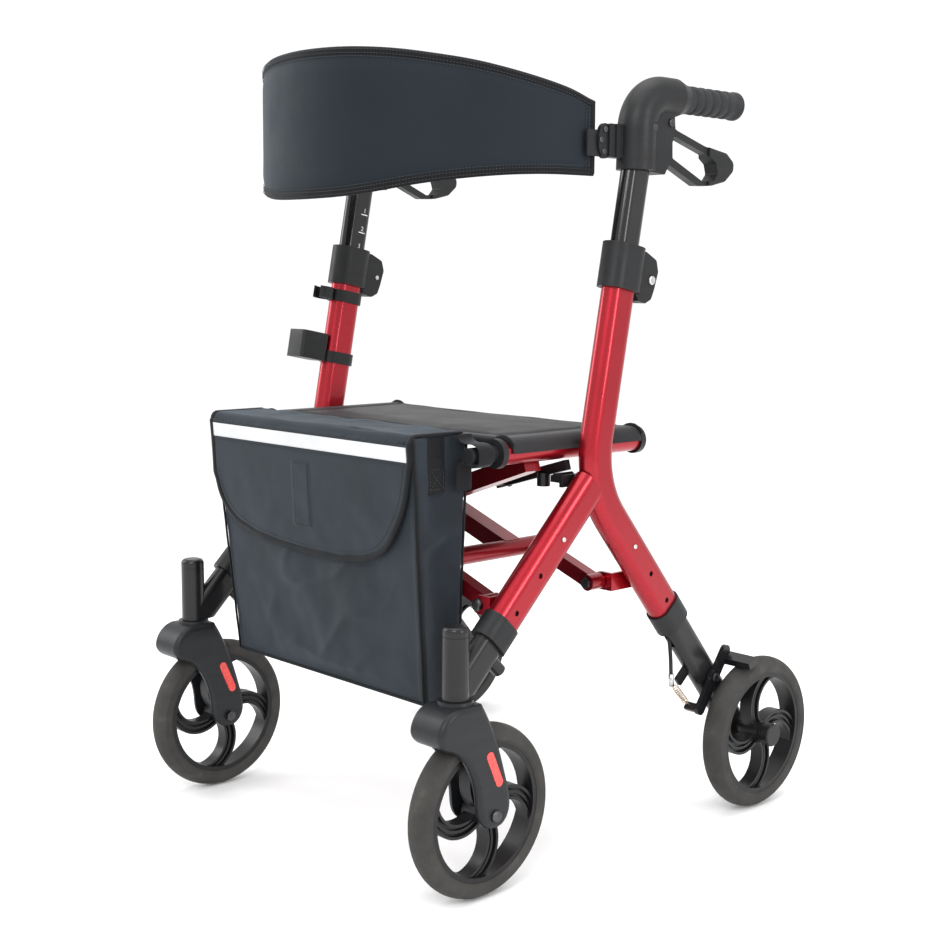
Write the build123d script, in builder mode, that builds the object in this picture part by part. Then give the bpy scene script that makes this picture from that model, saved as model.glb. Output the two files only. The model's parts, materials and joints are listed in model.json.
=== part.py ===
from build123d import *
import os
from math import atan2, cos, degrees, hypot, radians, sin, tan

# Rollator walker with a folding cross brace, padded seat, front bag and backrest strap.
# Millimetres. The origin is on the floor, midway between the wheel axles. +X is the
# user's left, +Y the rear and +Z up. Left-hand pieces are mirrored for the right-hand side.

# Stance
WHEEL_R = 100.0
WHEELBASE = 474.0
FRAME_X = 254.0
JUNCTION_Y = -57.0
JUNCTION_Z = 452.0
LEAN = 10.8
FRONT_RAKE = 45.0
REAR_RAKE = 40.0

# Side frame tube, and the tube that telescopes inside it (depth in the side plane)
TUBE_DEPTH = 45.0
TUBE_WIDTH = 27.5
TUBE_WALL = 1.8
INNER_DEPTH = 40.0
INNER_WIDTH = 22.5
INNER_WALL = 1.6
BEND_R = 120.0
SLIDE_GAP = 0.3

# Distances from the junction along the upright and the two legs
UPRIGHT_END = 275.0
FRONT_TUBE_END = 215.0
REAR_TUBE_END = 230.0
CLAMP_START = 230.0
CLAMP_END = 283.0
FRONT_COLLAR = (203.0, 233.0)
REAR_COLLAR = (216.0, 248.0)
POST_START = 150.0
POST_END = 410.0
FRONT_INSERT_START = 66.0
REAR_INSERT_START = 88.0
FRONT_HOLES = (82.0, 135.0, 188.0)
REAR_HOLES = (106.0, 155.0, 204.0)
CABLE_EXIT = 268.0

# Casters and wheels
STEM_X = 258.0
STEM_Y = -274.0
STEM_R = 15.0
STEM_BASE = 235.0
STEM_TOP = 317.0
KINGPIN_R = 6.0
AXLE_R = 5.0
RUN_FIT = 0.06
WHEEL_W = 30.0
RIM_R = 80.0
FRONT_AXLE_Y = -WHEELBASE / 2
REAR_AXLE_Y = WHEELBASE / 2
REAR_WHEEL_X = 290.0

# Cross brace and seat
PIVOT_X = 222.0
PIVOT_Z = 324.0
BRACE_RISE = 78.0
BRACE_MID_Z = PIVOT_Z + BRACE_RISE
BRACE_ANGLE = degrees(atan2(BRACE_RISE, PIVOT_X))
CROSSBAR_X = 125.0
ARM_YS = (-188.0, -12.0)
FRONT_TAB_Y = (-206.0, -201.0)
REAR_TAB_Y = (0.5, 5.5)
DIAGONAL_A_Y = -58.0
DIAGONAL_B_Y = -120.0
DIAGONAL_W = 25.0
DIAGONAL_H = 22.0
BRACE_BOLT_R = 5.0
RAIL_Z = 494.0
RAIL_R = 14.0
RAIL_Y = (-179.0, 59.0)

# Handle
GRIP_Z = 905.0
GRIP_Y = (95.0, 200.0)
GRIP_R = 15.5
SPIGOT_R = 11.0
ELBOW_R = 23.0
LEVER_PIVOT = (60.0, 874.0)
RIVETS = ((-36, 861), (-43, 849), (-38, 836))
RIVET_R = 1.8

# Rear brake
BRAKE_PIVOT = (170.0, 181.0)
ARM_FOOT = (144.0, 143.0)
ARM_BEND = (194.0, 212.0)
ARM_X = (266.6, 272.4)

UP = Vector(0, sin(radians(LEAN)), cos(radians(LEAN)))
FORWARD = Vector(0, -sin(radians(FRONT_RAKE)), -cos(radians(FRONT_RAKE)))
BACKWARD = Vector(0, sin(radians(REAR_RAKE)), -cos(radians(REAR_RAKE)))
JUNCTION = Vector(FRAME_X, JUNCTION_Y, JUNCTION_Z)
SIDE = Plane.YZ.offset(FRAME_X)

os.makedirs("parts", exist_ok=True)


def write(piece, label):
    """Label a finished piece and write its STEP file."""
    piece.label = label
    export_step(piece, f"parts/{label}.step")


def write_pair(piece, name):
    """Write a left-hand piece, then its mirror image for the right-hand side."""
    write(piece, f"left_{name}")
    with BuildPart() as opposite:
        mirror(piece, about=Plane.YZ)
    write(opposite.part, f"right_{name}")


def station(direction, distance):
    """Plane square to a frame tube at a distance from the junction; its Y is in the side plane."""
    return Plane(origin=JUNCTION + direction * distance, x_dir=(1, 0, 0), z_dir=direction)


def beside(direction, x=FRAME_X):
    """Side plane at the junction whose local Y runs along a frame tube."""
    across = Vector(0, direction.Z, -direction.Y)
    origin = Vector(x, JUNCTION_Y, JUNCTION_Z)
    return Plane(origin=origin, x_dir=across, z_dir=(1, 0, 0))


def xz_plane(y):
    """Plane facing the front at a given Y: local X is X and local Y is Z."""
    return Plane.XZ.offset(-y)


def yz_plane(x):
    """Plane facing the left at a given X: local X is Y and local Y is Z."""
    return Plane.YZ.offset(x)


def flat_oval(direction, start, end, depth, width):
    """Straight flat-oval bar along a frame tube's axis."""
    with BuildPart() as bar:
        with BuildSketch(station(direction, start)):
            SlotOverall(depth, width, rotation=90)
        extrude(amount=end - start)
    return bar.part


def bent_oval(depth, width, overrun=0.0):
    """Flat-oval bar along the upright, round the bend and down the rear leg."""
    top = JUNCTION + UP * (UPRIGHT_END + overrun)
    foot = JUNCTION + BACKWARD * (REAR_TUBE_END + overrun)
    with BuildPart() as bar:
        with BuildLine(SIDE):
            FilletPolyline(
                (top.Y, top.Z), (JUNCTION_Y, JUNCTION_Z), (foot.Y, foot.Z), radius=BEND_R
            )
        with BuildSketch(station(UP, UPRIGHT_END + overrun)):
            SlotOverall(depth, width, rotation=90)
        sweep()
    return bar.part


def rod(start, end, radius):
    """Round rod between two points."""
    axis = Vector(*end) - Vector(*start)
    with BuildPart() as bar:
        with BuildSketch(Plane(origin=start, z_dir=axis)):
            Circle(radius)
        extrude(amount=axis.length)
    return bar.part


def screw(start, end, radius, head_radius, head_length, nut_radius=0.0, nut_length=0.0):
    """Bolt from a button head at its start to an optional nut at its end."""
    axis = Vector(*end) - Vector(*start)
    with BuildPart() as bolt:
        with BuildSketch(Plane(origin=start, z_dir=axis)):
            Circle(radius)
        extrude(amount=axis.length)
        with BuildSketch(Plane(origin=start, z_dir=axis)):
            Circle(head_radius)
        extrude(amount=-head_length)
        rim = bolt.edges().filter_by(GeomType.CIRCLE).group_by(Axis(start, axis))[0]
        fillet(rim, head_length * 0.6)
        if nut_radius:
            with BuildSketch(Plane(origin=end, z_dir=axis)):
                RegularPolygon(nut_radius, 6)
                Circle(radius * 0.98, mode=Mode.SUBTRACT)
            extrude(amount=-nut_length)
    return bolt.part


def side_frame():
    """Bent flat-oval tube with the front leg and the two brace tabs welded on."""
    wall = 2 * TUBE_WALL
    depth, width = TUBE_DEPTH - wall, TUBE_WIDTH - wall
    leg = flat_oval(FORWARD, 0, FRONT_TUBE_END, TUBE_DEPTH, TUBE_WIDTH)
    leg_bore = flat_oval(FORWARD, 0, FRONT_TUBE_END, depth, width)
    outside = bent_oval(TUBE_DEPTH, TUBE_WIDTH)
    inside = bent_oval(depth, width)
    tabs = [
        (FRONT_TAB_Y, (FRONT_TAB_Y[0], -168.0)),
        (REAR_TAB_Y, (REAR_TAB_Y[0], 58.0)),
    ]
    face_x = FRAME_X - TUBE_WIDTH / 2
    with BuildPart() as frame:
        add(leg)
        add(leg_bore, mode=Mode.SUBTRACT)
        add(outside)
        for flange_y, plate_y in tabs:
            with BuildSketch(xz_plane(flange_y[1])):
                with Locations((PIVOT_X, PIVOT_Z)):
                    Circle(11)
                with Locations(((PIVOT_X + face_x) / 2, PIVOT_Z)):
                    Rectangle(face_x - PIVOT_X, 22)
                with Locations((PIVOT_X, PIVOT_Z)):
                    Circle(4.3, mode=Mode.SUBTRACT)
            extrude(amount=flange_y[1] - flange_y[0])
            with BuildSketch(yz_plane(face_x + 0.25)):
                with Locations(((plate_y[0] + plate_y[1]) / 2, PIVOT_Z)):
                    RectangleRounded(plate_y[1] - plate_y[0], 22, 2)
            extrude(amount=-4.25)
        add(inside, mode=Mode.SUBTRACT)
        for direction, holes in ((FORWARD, FRONT_HOLES), (BACKWARD, REAR_HOLES)):
            with BuildSketch(beside(direction)):
                with Locations(*[(0, distance) for distance in holes]):
                    Circle(3.3)
            extrude(amount=TUBE_WIDTH, mode=Mode.SUBTRACT)
    return frame.part


def fittings():
    """Moulded height clamp, both leg collars and the bracket that the rest arm sits on."""
    tube = (TUBE_DEPTH, TUBE_WIDTH)
    slide = (INNER_DEPTH + 2 * SLIDE_GAP, INNER_WIDTH + 2 * SLIDE_GAP)
    sleeves = [
        (UP, (CLAMP_START, CLAMP_END), UPRIGHT_END, (57, 39)),
        (FORWARD, FRONT_COLLAR, FRONT_TUBE_END, (50, 33)),
        (BACKWARD, REAR_COLLAR, REAR_TUBE_END, (50, 33)),
    ]
    lug = [
        (16, 281), (30, 281), (50, 275), (56, 262), (53, 240), (50, 228), (40, 221), (28, 222), (16, 233)
    ]
    with BuildPart() as moulding:
        for direction, (start, end), tube_end, outer in sleeves:
            with BuildSketch(station(direction, start)):
                SlotOverall(*outer, rotation=90)
            extrude(amount=end - start)
        with BuildSketch(beside(UP)):
            with BuildLine():
                Polyline(*lug, close=True)
            make_face()
            fillet([corner for corner in vertices() if corner.X > 25], 5)
        extrude(amount=10, both=True)
        for direction, (start, end), tube_end, outer in sleeves:
            with BuildSketch(station(direction, start - 15)):
                SlotOverall(*tube, rotation=90)
            extrude(amount=tube_end - start + 15, mode=Mode.SUBTRACT)
            with BuildSketch(station(direction, tube_end)):
                SlotOverall(*slide, rotation=90)
            extrude(amount=end - tube_end, mode=Mode.SUBTRACT)
        with BuildSketch(beside(UP)):
            with Locations((45, 250)):
                Circle(3.2)
        extrude(amount=12, both=True, mode=Mode.SUBTRACT)
        with BuildSketch(beside(UP)):
            with Locations((40, 250)):
                Rectangle(40, 80)
        extrude(amount=1, both=True, mode=Mode.SUBTRACT)
        with BuildSketch(xz_plane(-60)):
            with Locations((231, 458)):
                Rectangle(18.5, 8)
            with Locations((238, 456)):
                Rectangle(4.5, 14)
            with Locations((228, 461)):
                Circle(3.6)
        extrude(amount=30)
    return moulding.part


def frame_bolts():
    """Clamp bolt and the two brace pivot bolts of one side frame."""
    clamp = beside(UP).from_local_coords((45, 250, -11))
    clamp_head = beside(UP).from_local_coords((45, 250, 10))
    front = (PIVOT_X, FRONT_TAB_Y[0], PIVOT_Z)
    rear = (PIVOT_X, REAR_TAB_Y[1], PIVOT_Z)
    clamp_screw = screw(clamp_head, clamp, 3.0, 5.5, 3.0)
    front_bolt = screw(front, (PIVOT_X, -172, PIVOT_Z), 4.0, 7.5, 5.0, 7.0, 3.5)
    rear_bolt = screw(rear, (PIVOT_X, -28, PIVOT_Z), 4.0, 7.5, 5.0, 7.0, 3.5)
    with BuildPart() as bolts:
        add(clamp_screw)
        add(front_bolt)
        add(rear_bolt)
    return bolts.part


def post():
    """Handle post: flat-oval tube with a cable slot at its top."""
    bar = flat_oval(UP, POST_START, POST_END, INNER_DEPTH, INNER_WIDTH)
    wall = 2 * INNER_WALL
    bore = flat_oval(UP, POST_START, POST_END, INNER_DEPTH - wall, INNER_WIDTH - wall)
    with BuildPart() as tube:
        add(bar)
        add(bore, mode=Mode.SUBTRACT)
        with BuildSketch(yz_plane(FRAME_X)):
            with Locations((34, 836)):
                Rectangle(20, 20)
        extrude(amount=4.5, both=True, mode=Mode.SUBTRACT)
    return tube.part


def housing():
    """Moulded elbow on the post's top: post socket, lever slot, cable channel and grip spigot."""
    foot_z = 817.0
    bend_y = 15.0
    bend_r = 42.0
    socket = flat_oval(UP, 365, POST_END, INNER_DEPTH + 0.2, INNER_WIDTH + 0.2)
    rear = [(14, 817), (50, 813), (58, 826), (63, 850), (68, 868), (66, 886), (40, 892), (14, 880)]
    with BuildPart() as shell:
        with BuildLine(SIDE):
            FilletPolyline((bend_y - 2, foot_z), (bend_y, GRIP_Z), (78, GRIP_Z), radius=bend_r)
        with BuildSketch(Plane(origin=(FRAME_X, bend_y - 2, foot_z), z_dir=(0, 2, GRIP_Z - foot_z))):
            Circle(ELBOW_R)
        sweep()
        with BuildSketch(xz_plane(78)):
            with Locations((FRAME_X, GRIP_Z)):
                Circle(ELBOW_R)
        with BuildSketch(xz_plane(GRIP_Y[0] - 1)):
            with Locations((FRAME_X, GRIP_Z)):
                Circle(GRIP_R + 2.5)
        loft()
        with BuildSketch(yz_plane(FRAME_X)):
            with BuildLine():
                Polyline(*rear, close=True)
            make_face()
            fillet(vertices(), 4)
        extrude(amount=14, both=True)
        with BuildSketch(xz_plane(GRIP_Y[0] - 2)):
            with Locations((FRAME_X, GRIP_Z)):
                Circle(SPIGOT_R)
        extrude(amount=-(GRIP_Y[1] - GRIP_Y[0] - 3))
        with BuildSketch(yz_plane(FRAME_X)):
            with Locations((-14, 849)):
                Rectangle(14, 38)
        extrude(amount=-16)
        add(socket, mode=Mode.SUBTRACT)
        with BuildSketch(yz_plane(FRAME_X)):
            with Locations((59, 852)):
                Rectangle(24, 62)
        extrude(amount=6.5, both=True, mode=Mode.SUBTRACT)
        with BuildSketch(xz_plane(50)):
            with Locations((FRAME_X, 833)):
                Circle(4.2)
        extrude(amount=34, mode=Mode.SUBTRACT)
        with BuildSketch(yz_plane(FRAME_X)):
            with Locations(LEVER_PIVOT):
                Circle(2.6)
        extrude(amount=16, both=True, mode=Mode.SUBTRACT)
        with BuildSketch(yz_plane(FRAME_X + ELBOW_R)):
            with Locations((23, 866)):
                Circle(5.2)
        extrude(amount=-6, mode=Mode.SUBTRACT)
    return shell.part


def grip():
    """Ribbed vinyl sleeve with a flared outer end."""
    ribs = 5
    length = GRIP_Y[1] - GRIP_Y[0]
    with BuildPart() as sleeve:
        with BuildSketch(Plane(origin=(FRAME_X, GRIP_Y[0], GRIP_Z), x_dir=(1, 0, 0), z_dir=(0, 0, 1))):
            with BuildLine():
                Polyline(
                    (SPIGOT_R, 0), (GRIP_R + 1.5, 0), (GRIP_R + 1.5, 6), (GRIP_R, 9), (GRIP_R, length - 12),
                    (GRIP_R + 2, length - 6), (GRIP_R + 2, length - 2), (GRIP_R, length),
                    (0, length), (0, length - 4), (SPIGOT_R, length - 4), close=True
                )
            make_face()
            with GridLocations(0, (length - 26) / ribs, 1, ribs):
                with Locations((GRIP_R, length / 2 - 2)):
                    Ellipse(1.5, 5.6)
        revolve(axis=Axis((FRAME_X, 0, GRIP_Z), (0, 1, 0)))
    return sleeve.part


def brake_lever():
    """Looped brake lever with a wide finger end, hinged at its top."""
    outer = [
        (52, 876), (60, 883), (70, 873), (82, 867), (136, 852), (176, 846), (191, 835), (190, 824),
        (174, 811), (148, 805), (122, 804), (60, 829), (53, 834),
    ]
    inner = [(73, 859), (80, 859), (137, 843), (154, 832), (158, 820), (150, 811), (132, 810), (74, 834)]
    with BuildSketch() as loop:
        with BuildLine():
            Polyline(*outer, close=True)
        make_face()
        fillet([corner for corner in vertices() if corner.X > 160], 8)
        fillet([corner for corner in vertices() if corner.X < 140], 3)
    with BuildSketch() as hole:
        with BuildLine():
            Polyline(*inner, close=True)
        make_face()
        fillet(vertices(), 3)
    with BuildPart() as lever:
        with BuildSketch(yz_plane(FRAME_X)):
            add(loop.sketch)
        extrude(amount=5.8, both=True)
        with BuildSketch(yz_plane(FRAME_X)):
            add(loop.sketch)
            with Locations((97, 845)):
                Rectangle(90, 90, mode=Mode.SUBTRACT)
        extrude(amount=10, both=True)
        for face in (lever.faces().sort_by(Axis.X)[-1], lever.faces().sort_by(Axis.X)[0]):
            fillet(face.outer_wire().edges(), 2.5)
        with BuildSketch(yz_plane(FRAME_X)):
            add(hole.sketch)
        extrude(amount=12, both=True, mode=Mode.SUBTRACT)
        with BuildSketch(yz_plane(FRAME_X)):
            with Locations(LEVER_PIVOT):
                Circle(2.56)
        extrude(amount=12, both=True, mode=Mode.SUBTRACT)
    return lever.part


def handle_bolts():
    """Lever pivot, housing screw, backrest rivets and the cable adjuster."""
    pivot_y, pivot_z = LEVER_PIVOT
    pivot = screw((FRAME_X + 14, pivot_y, pivot_z), (FRAME_X - 15, pivot_y, pivot_z), 2.5, 5.0, 2.5)
    housing_screw = screw((FRAME_X + 19, 23, 866), (FRAME_X + 17.2, 23, 866), 2.5, 4.6, 2.5)
    rivets = [
        screw((249.5, y, z), (244.5, y, z), RIVET_R, 3.6, 1.8)
        for y, z in RIVETS
    ]
    adjuster = rod((FRAME_X, 39, 833), (FRAME_X, 50, 833), 4.0)
    channel = rod((FRAME_X, 20, 833), (FRAME_X, 60, 833), 2.8)
    with BuildPart() as bolts:
        add(pivot)
        add(housing_screw)
        add(rivets)
        add(adjuster)
        add(channel, mode=Mode.SUBTRACT)
    return bolts.part


def backrest_bracket():
    """Riveted bracket that joins the backrest strap's end to the handle housing."""
    with BuildPart() as bracket:
        with BuildSketch(yz_plane(244.5)):
            with Locations((-36, 848)):
                Ellipse(11, 20)
            with Locations((-31, 848)):
                Rectangle(20, 36)
        extrude(amount=5)
        with BuildSketch(yz_plane(243)):
            with Locations((-26.2, 849)):
                RectangleRounded(10, 38, 2)
        extrude(amount=9)
        with BuildSketch(yz_plane(244.5)):
            with Locations((-52, 845)):
                Rectangle(22, 30)
        extrude(amount=2)
        with BuildSketch(yz_plane(244.5)):
            with Locations(*RIVETS):
                Circle(RIVET_R)
        extrude(amount=5, mode=Mode.SUBTRACT)
    return bracket.part


def front_insert():
    """Front leg insert with the caster's stem housing welded to its lower end."""
    stem_distance = (JUNCTION_Y - STEM_Y) / sin(radians(FRONT_RAKE))
    bar = flat_oval(FORWARD, FRONT_INSERT_START, stem_distance, INNER_DEPTH, INNER_WIDTH)
    wall = 2 * INNER_WALL
    bore_end = stem_distance - 48
    bore = flat_oval(FORWARD, FRONT_INSERT_START, bore_end, INNER_DEPTH - wall, INNER_WIDTH - wall)
    knob = JUNCTION + Vector(-2, -152.6, -191.6)
    with BuildPart() as insert:
        add(bar)
        add(bore, mode=Mode.SUBTRACT)
        with BuildSketch(yz_plane(FRAME_X)):
            with Locations((-290, 216)):
                Rectangle(120, 2 * (STEM_BASE + 1 - 216))
            with Locations((-304, 260)):
                Rectangle(60, 200)
        extrude(amount=30, both=True, mode=Mode.SUBTRACT)
        with BuildSketch(Plane.XY.offset(STEM_BASE)):
            with Locations((STEM_X, STEM_Y)):
                Circle(STEM_R)
        extrude(amount=STEM_TOP - STEM_BASE)
        fillet(insert.edges().filter_by_position(Axis.Z, STEM_TOP - 0.1, STEM_TOP + 0.1), 6)
        with BuildSketch(Plane.XY.offset(305)):
            with Locations((STEM_X, STEM_Y)):
                Circle(STEM_R)
                Circle(STEM_R - 0.6, mode=Mode.SUBTRACT)
        extrude(amount=1.2, mode=Mode.SUBTRACT)
        with BuildSketch(Plane.XY.offset(STEM_BASE)):
            with Locations((STEM_X, STEM_Y)):
                Circle(KINGPIN_R + RUN_FIT)
        extrude(amount=62, mode=Mode.SUBTRACT)
        with BuildSketch(Plane(origin=knob, z_dir=(0, 1, -1))):
            Circle(8)
        extrude(amount=11, both=True)
        with BuildSketch(beside(FORWARD)):
            with Locations((0, FRONT_HOLES[0])):
                Circle(3.3)
        extrude(amount=TUBE_WIDTH, mode=Mode.SUBTRACT)
    return insert.part


def leg_button(direction, distance):
    """Sprung button that locks a leg insert in one of the leg's holes."""
    place = beside(direction)
    seat = place.from_local_coords((0, distance, 6))
    nose = place.from_local_coords((0, distance, TUBE_WIDTH / 2 + 1.6))
    flange = place.from_local_coords((0, distance, 8.4))
    shank = rod(seat, nose, 3.0)
    collar = rod(seat, flange, 4.6)
    with BuildPart() as button:
        add(shank)
        add(collar)
        fillet(button.edges().filter_by(GeomType.CIRCLE).group_by(Axis.X)[-1], 1.2)
    return button.part


def caster_fork():
    """Moulded caster fork: crown, nose and two blades either side of the wheel."""
    hood = [
        (-292, 231), (-308, 224), (-317, 212), (-319, 200), (-312, 190), (-295, 182), (-280, 168), (-268, 146),
        (-262, 120), (-258, 98), (-247, 87), (-236, 84), (-223, 87), (-214, 98), (-217, 137), (-228, 172),
        (-243, 208), (-256, 231),
    ]
    with BuildPart() as fork:
        with BuildSketch(yz_plane(STEM_X)):
            with BuildLine():
                Spline(*hood[:-1], hood[-1])
                Line(hood[-1], hood[0])
            make_face()
        extrude(amount=27, both=True)
        for face in (fork.faces().sort_by(Axis.X)[-1], fork.faces().sort_by(Axis.X)[0]):
            fillet(face.outer_wire().edges(), 7)
        with BuildSketch(yz_plane(STEM_X)):
            with Locations((FRONT_AXLE_Y, WHEEL_R)):
                Circle(WHEEL_R + 4.5)
        extrude(amount=18.5, both=True, mode=Mode.SUBTRACT)
        with BuildSketch(Plane.XY.offset(STEM_BASE - 0.6)):
            with Locations((STEM_X, STEM_Y)):
                Circle(19.5)
        extrude(amount=-24, taper=-14)
        with BuildSketch(Plane.XY.offset(240)):
            with Locations((STEM_X, STEM_Y)):
                Circle(KINGPIN_R)
        extrude(amount=-60, mode=Mode.SUBTRACT)
        with BuildSketch(yz_plane(STEM_X)):
            with Locations((FRONT_AXLE_Y, WHEEL_R)):
                Circle(4)
        extrude(amount=30, both=True, mode=Mode.SUBTRACT)
        for side in (-1, 1):
            with BuildSketch(yz_plane(STEM_X + side * 27)):
                with Locations((-239, 154)):
                    SlotOverall(46, 11, rotation=-66)
            extrude(amount=-side * 1.2, mode=Mode.SUBTRACT)
    return fork.part


def reflectors():
    """Red reflector inset in each fork blade."""
    with BuildPart() as lenses:
        for side in (-1, 1):
            with BuildSketch(yz_plane(STEM_X + side * 25.8)):
                with Locations((-239, 154)):
                    SlotOverall(45.6, 10.6, rotation=-66)
            extrude(amount=side * 1.6)
    return lenses.part


def caster_hardware():
    """Kingpin of the caster's swivel and the wheel's axle bolt."""
    kingpin = rod((STEM_X, STEM_Y, 206), (STEM_X, STEM_Y, 294), KINGPIN_R)
    axle = screw(
        (STEM_X + 27, FRONT_AXLE_Y, WHEEL_R), (STEM_X - 32, FRONT_AXLE_Y, WHEEL_R), 4.0, 7.0, 4.0, 7.0, 5.0
    )
    with BuildPart() as hardware:
        add(kingpin)
        add(axle)
    return hardware.part


def wheel_rim(x, y, bore, cap):
    """One-piece rim with four swept, ribbed spokes; a cap may close the hub's outer end."""
    spokes = 4
    hub = 15.0
    upper = ((8, 11), (48, 19), (78, -10))
    middle = ((11, 6), (48, 12), (76, -21))
    lower = ((13, 0), (46, 5), (71, -32))
    with BuildSketch() as web:
        with BuildLine():
            ThreePointArc(*upper)
            Line(upper[2], lower[2])
            ThreePointArc(*lower)
            Line(lower[0], upper[0])
        make_face()
    ribs = []
    for rib in (upper, middle, lower):
        with BuildSketch() as ridge:
            with BuildLine():
                offset(ThreePointArc(*rib), amount=1.6, side=Side.BOTH)
            make_face()
        ribs.append(ridge.sketch)
    face = Plane(origin=(x, y, WHEEL_R), x_dir=(0, 1, 0), z_dir=(1, 0, 0))
    with BuildPart() as rim:
        with BuildSketch(face):
            Circle(RIM_R)
            Circle(RIM_R - 6, mode=Mode.SUBTRACT)
        extrude(amount=12.5, both=True)
        with BuildSketch(face):
            Circle(hub)
        extrude(amount=13, both=True)
        for outline, half in ((web.sketch, 4), (ribs[0], 9), (ribs[1], 7), (ribs[2], 9)):
            with BuildSketch(face):
                for turn in range(spokes):
                    add(outline.rotate(Axis.Z, 360 / spokes * turn))
                Circle(RIM_R - 2, mode=Mode.INTERSECT)
            extrude(amount=half, both=True)
        if cap:
            for start, radius, length in ((13, hub - 2, cap), (19, hub, cap - 6)):
                with BuildSketch(face.offset(start)):
                    Circle(radius)
                extrude(amount=length)
            fillet(rim.edges().filter_by(GeomType.CIRCLE).group_by(Axis.X)[-1], 2)
        with BuildSketch(face.offset(-13)):
            Circle(bore + RUN_FIT)
        extrude(amount=26 + max(cap - 7, 0), mode=Mode.SUBTRACT)
    return rim.part


def tyre(x, y):
    """Round-shouldered polyurethane tyre."""
    half = WHEEL_W / 2
    with BuildPart() as ring:
        with BuildSketch(Plane(origin=(x, y, WHEEL_R), x_dir=(1, 0, 0), z_dir=(0, 1, 0))):
            with BuildLine():
                Polyline((-half + 2, -RIM_R), (-half, -RIM_R - 3), (-half, -92))
                ThreePointArc((-half, -92), (0, -WHEEL_R), (half, -92))
                Polyline((half, -92), (half, -RIM_R - 3), (half - 2, -RIM_R), (-half + 2, -RIM_R))
            make_face()
        revolve(axis=Axis((x, y, WHEEL_R), (1, 0, 0)))
    return ring.part


def rear_insert():
    """Rear leg insert, closed at its foot around the axle, with the brake's cable stop."""
    axle_distance = (JUNCTION_Z - WHEEL_R) / cos(radians(REAR_RAKE))
    wall = 2 * INNER_WALL
    bar = flat_oval(BACKWARD, REAR_INSERT_START, axle_distance, INNER_DEPTH, INNER_WIDTH)
    bore = flat_oval(
        BACKWARD, REAR_INSERT_START, axle_distance - 40, INNER_DEPTH - wall, INNER_WIDTH - wall
    )
    foot = beside(BACKWARD).from_local_coords((0, axle_distance, 0))
    with BuildPart() as insert:
        add(bar)
        with BuildSketch(yz_plane(FRAME_X)):
            with Locations((foot.Y, foot.Z)):
                Circle(INNER_DEPTH / 2)
        extrude(amount=INNER_WIDTH / 2, both=True)
        add(bore, mode=Mode.SUBTRACT)
        with BuildSketch(beside(BACKWARD)):
            with Locations((28, 322)):
                RectangleRounded(26, 14, 3)
        extrude(amount=-4)
        with BuildSketch(beside(BACKWARD)):
            with Locations((20, CABLE_EXIT - 4)):
                Rectangle(20, 22)
        extrude(amount=4, both=True, mode=Mode.SUBTRACT)
        with BuildSketch(yz_plane(FRAME_X)):
            with Locations((REAR_AXLE_Y, WHEEL_R)):
                Circle(AXLE_R)
        extrude(amount=20, both=True, mode=Mode.SUBTRACT)
        with BuildSketch(yz_plane(FRAME_X)):
            with Locations(BRAKE_PIVOT):
                Circle(3.5)
        extrude(amount=20, mode=Mode.SUBTRACT)
        with BuildSketch(beside(BACKWARD)):
            with Locations((0, REAR_HOLES[0])):
                Circle(3.3)
        extrude(amount=TUBE_WIDTH, mode=Mode.SUBTRACT)
    return insert.part


def rear_hardware():
    """Rear stub axle with its spacer, and the brake arm's pivot bolt."""
    axle = rod((FRAME_X - 14, REAR_AXLE_Y, WHEEL_R), (REAR_WHEEL_X + 22, REAR_AXLE_Y, WHEEL_R), AXLE_R)
    spacer = rod((FRAME_X + 11.3, REAR_AXLE_Y, WHEEL_R), (REAR_WHEEL_X - 13.4, REAR_AXLE_Y, WHEEL_R), 9)
    pivot_y, pivot_z = BRAKE_PIVOT
    pivot = screw((ARM_X[1] + 0.2, pivot_y, pivot_z), (FRAME_X - 4, pivot_y, pivot_z), 3.5, 6.0, 3.5)
    with BuildPart() as hardware:
        add(axle)
        add(spacer)
        add(pivot)
    return hardware.part


def brake_arm():
    """Bent flat arm: cable foot, pivot eye and the shoe that bears on the tyre."""
    run = Vector(ARM_BEND[0] - ARM_FOOT[0], ARM_BEND[1] - ARM_FOOT[1])
    tilt = degrees(atan2(run.Y, run.X))
    middle = ((ARM_FOOT[0] + ARM_BEND[0]) / 2, (ARM_FOOT[1] + ARM_BEND[1]) / 2)
    thickness = ARM_X[1] - ARM_X[0]
    with BuildPart() as arm:
        with BuildSketch(yz_plane(ARM_X[0])):
            with Locations(middle):
                SlotCenterToCenter(run.length, 15, rotation=tilt)
            with Locations(BRAKE_PIVOT):
                Circle(9)
        extrude(amount=thickness)
        with BuildSketch(yz_plane(ARM_X[0])):
            with Locations((200.2, 201.2)):
                Rectangle(9, 18, rotation=110)
        extrude(amount=44)
        with BuildSketch(yz_plane(ARM_X[1])):
            with Locations(ARM_FOOT):
                RectangleRounded(11, 9, 2, rotation=tilt)
        extrude(amount=-24)
        with BuildSketch(yz_plane(ARM_X[0])):
            with Locations(BRAKE_PIVOT):
                Circle(3.5 + RUN_FIT)
        extrude(amount=thickness, mode=Mode.SUBTRACT)
    return arm.part


def brake_spring():
    """Return spring between the cable stop and the brake arm's foot."""
    start = Vector(252, 115, 174)
    end = Vector(252, 138, 150)
    with BuildPart() as spring:
        with BuildSketch(Plane(origin=start, z_dir=end - start)):
            Circle(4)
            Circle(2.6, mode=Mode.SUBTRACT)
        extrude(amount=(end - start).length)
    return spring.part


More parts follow.
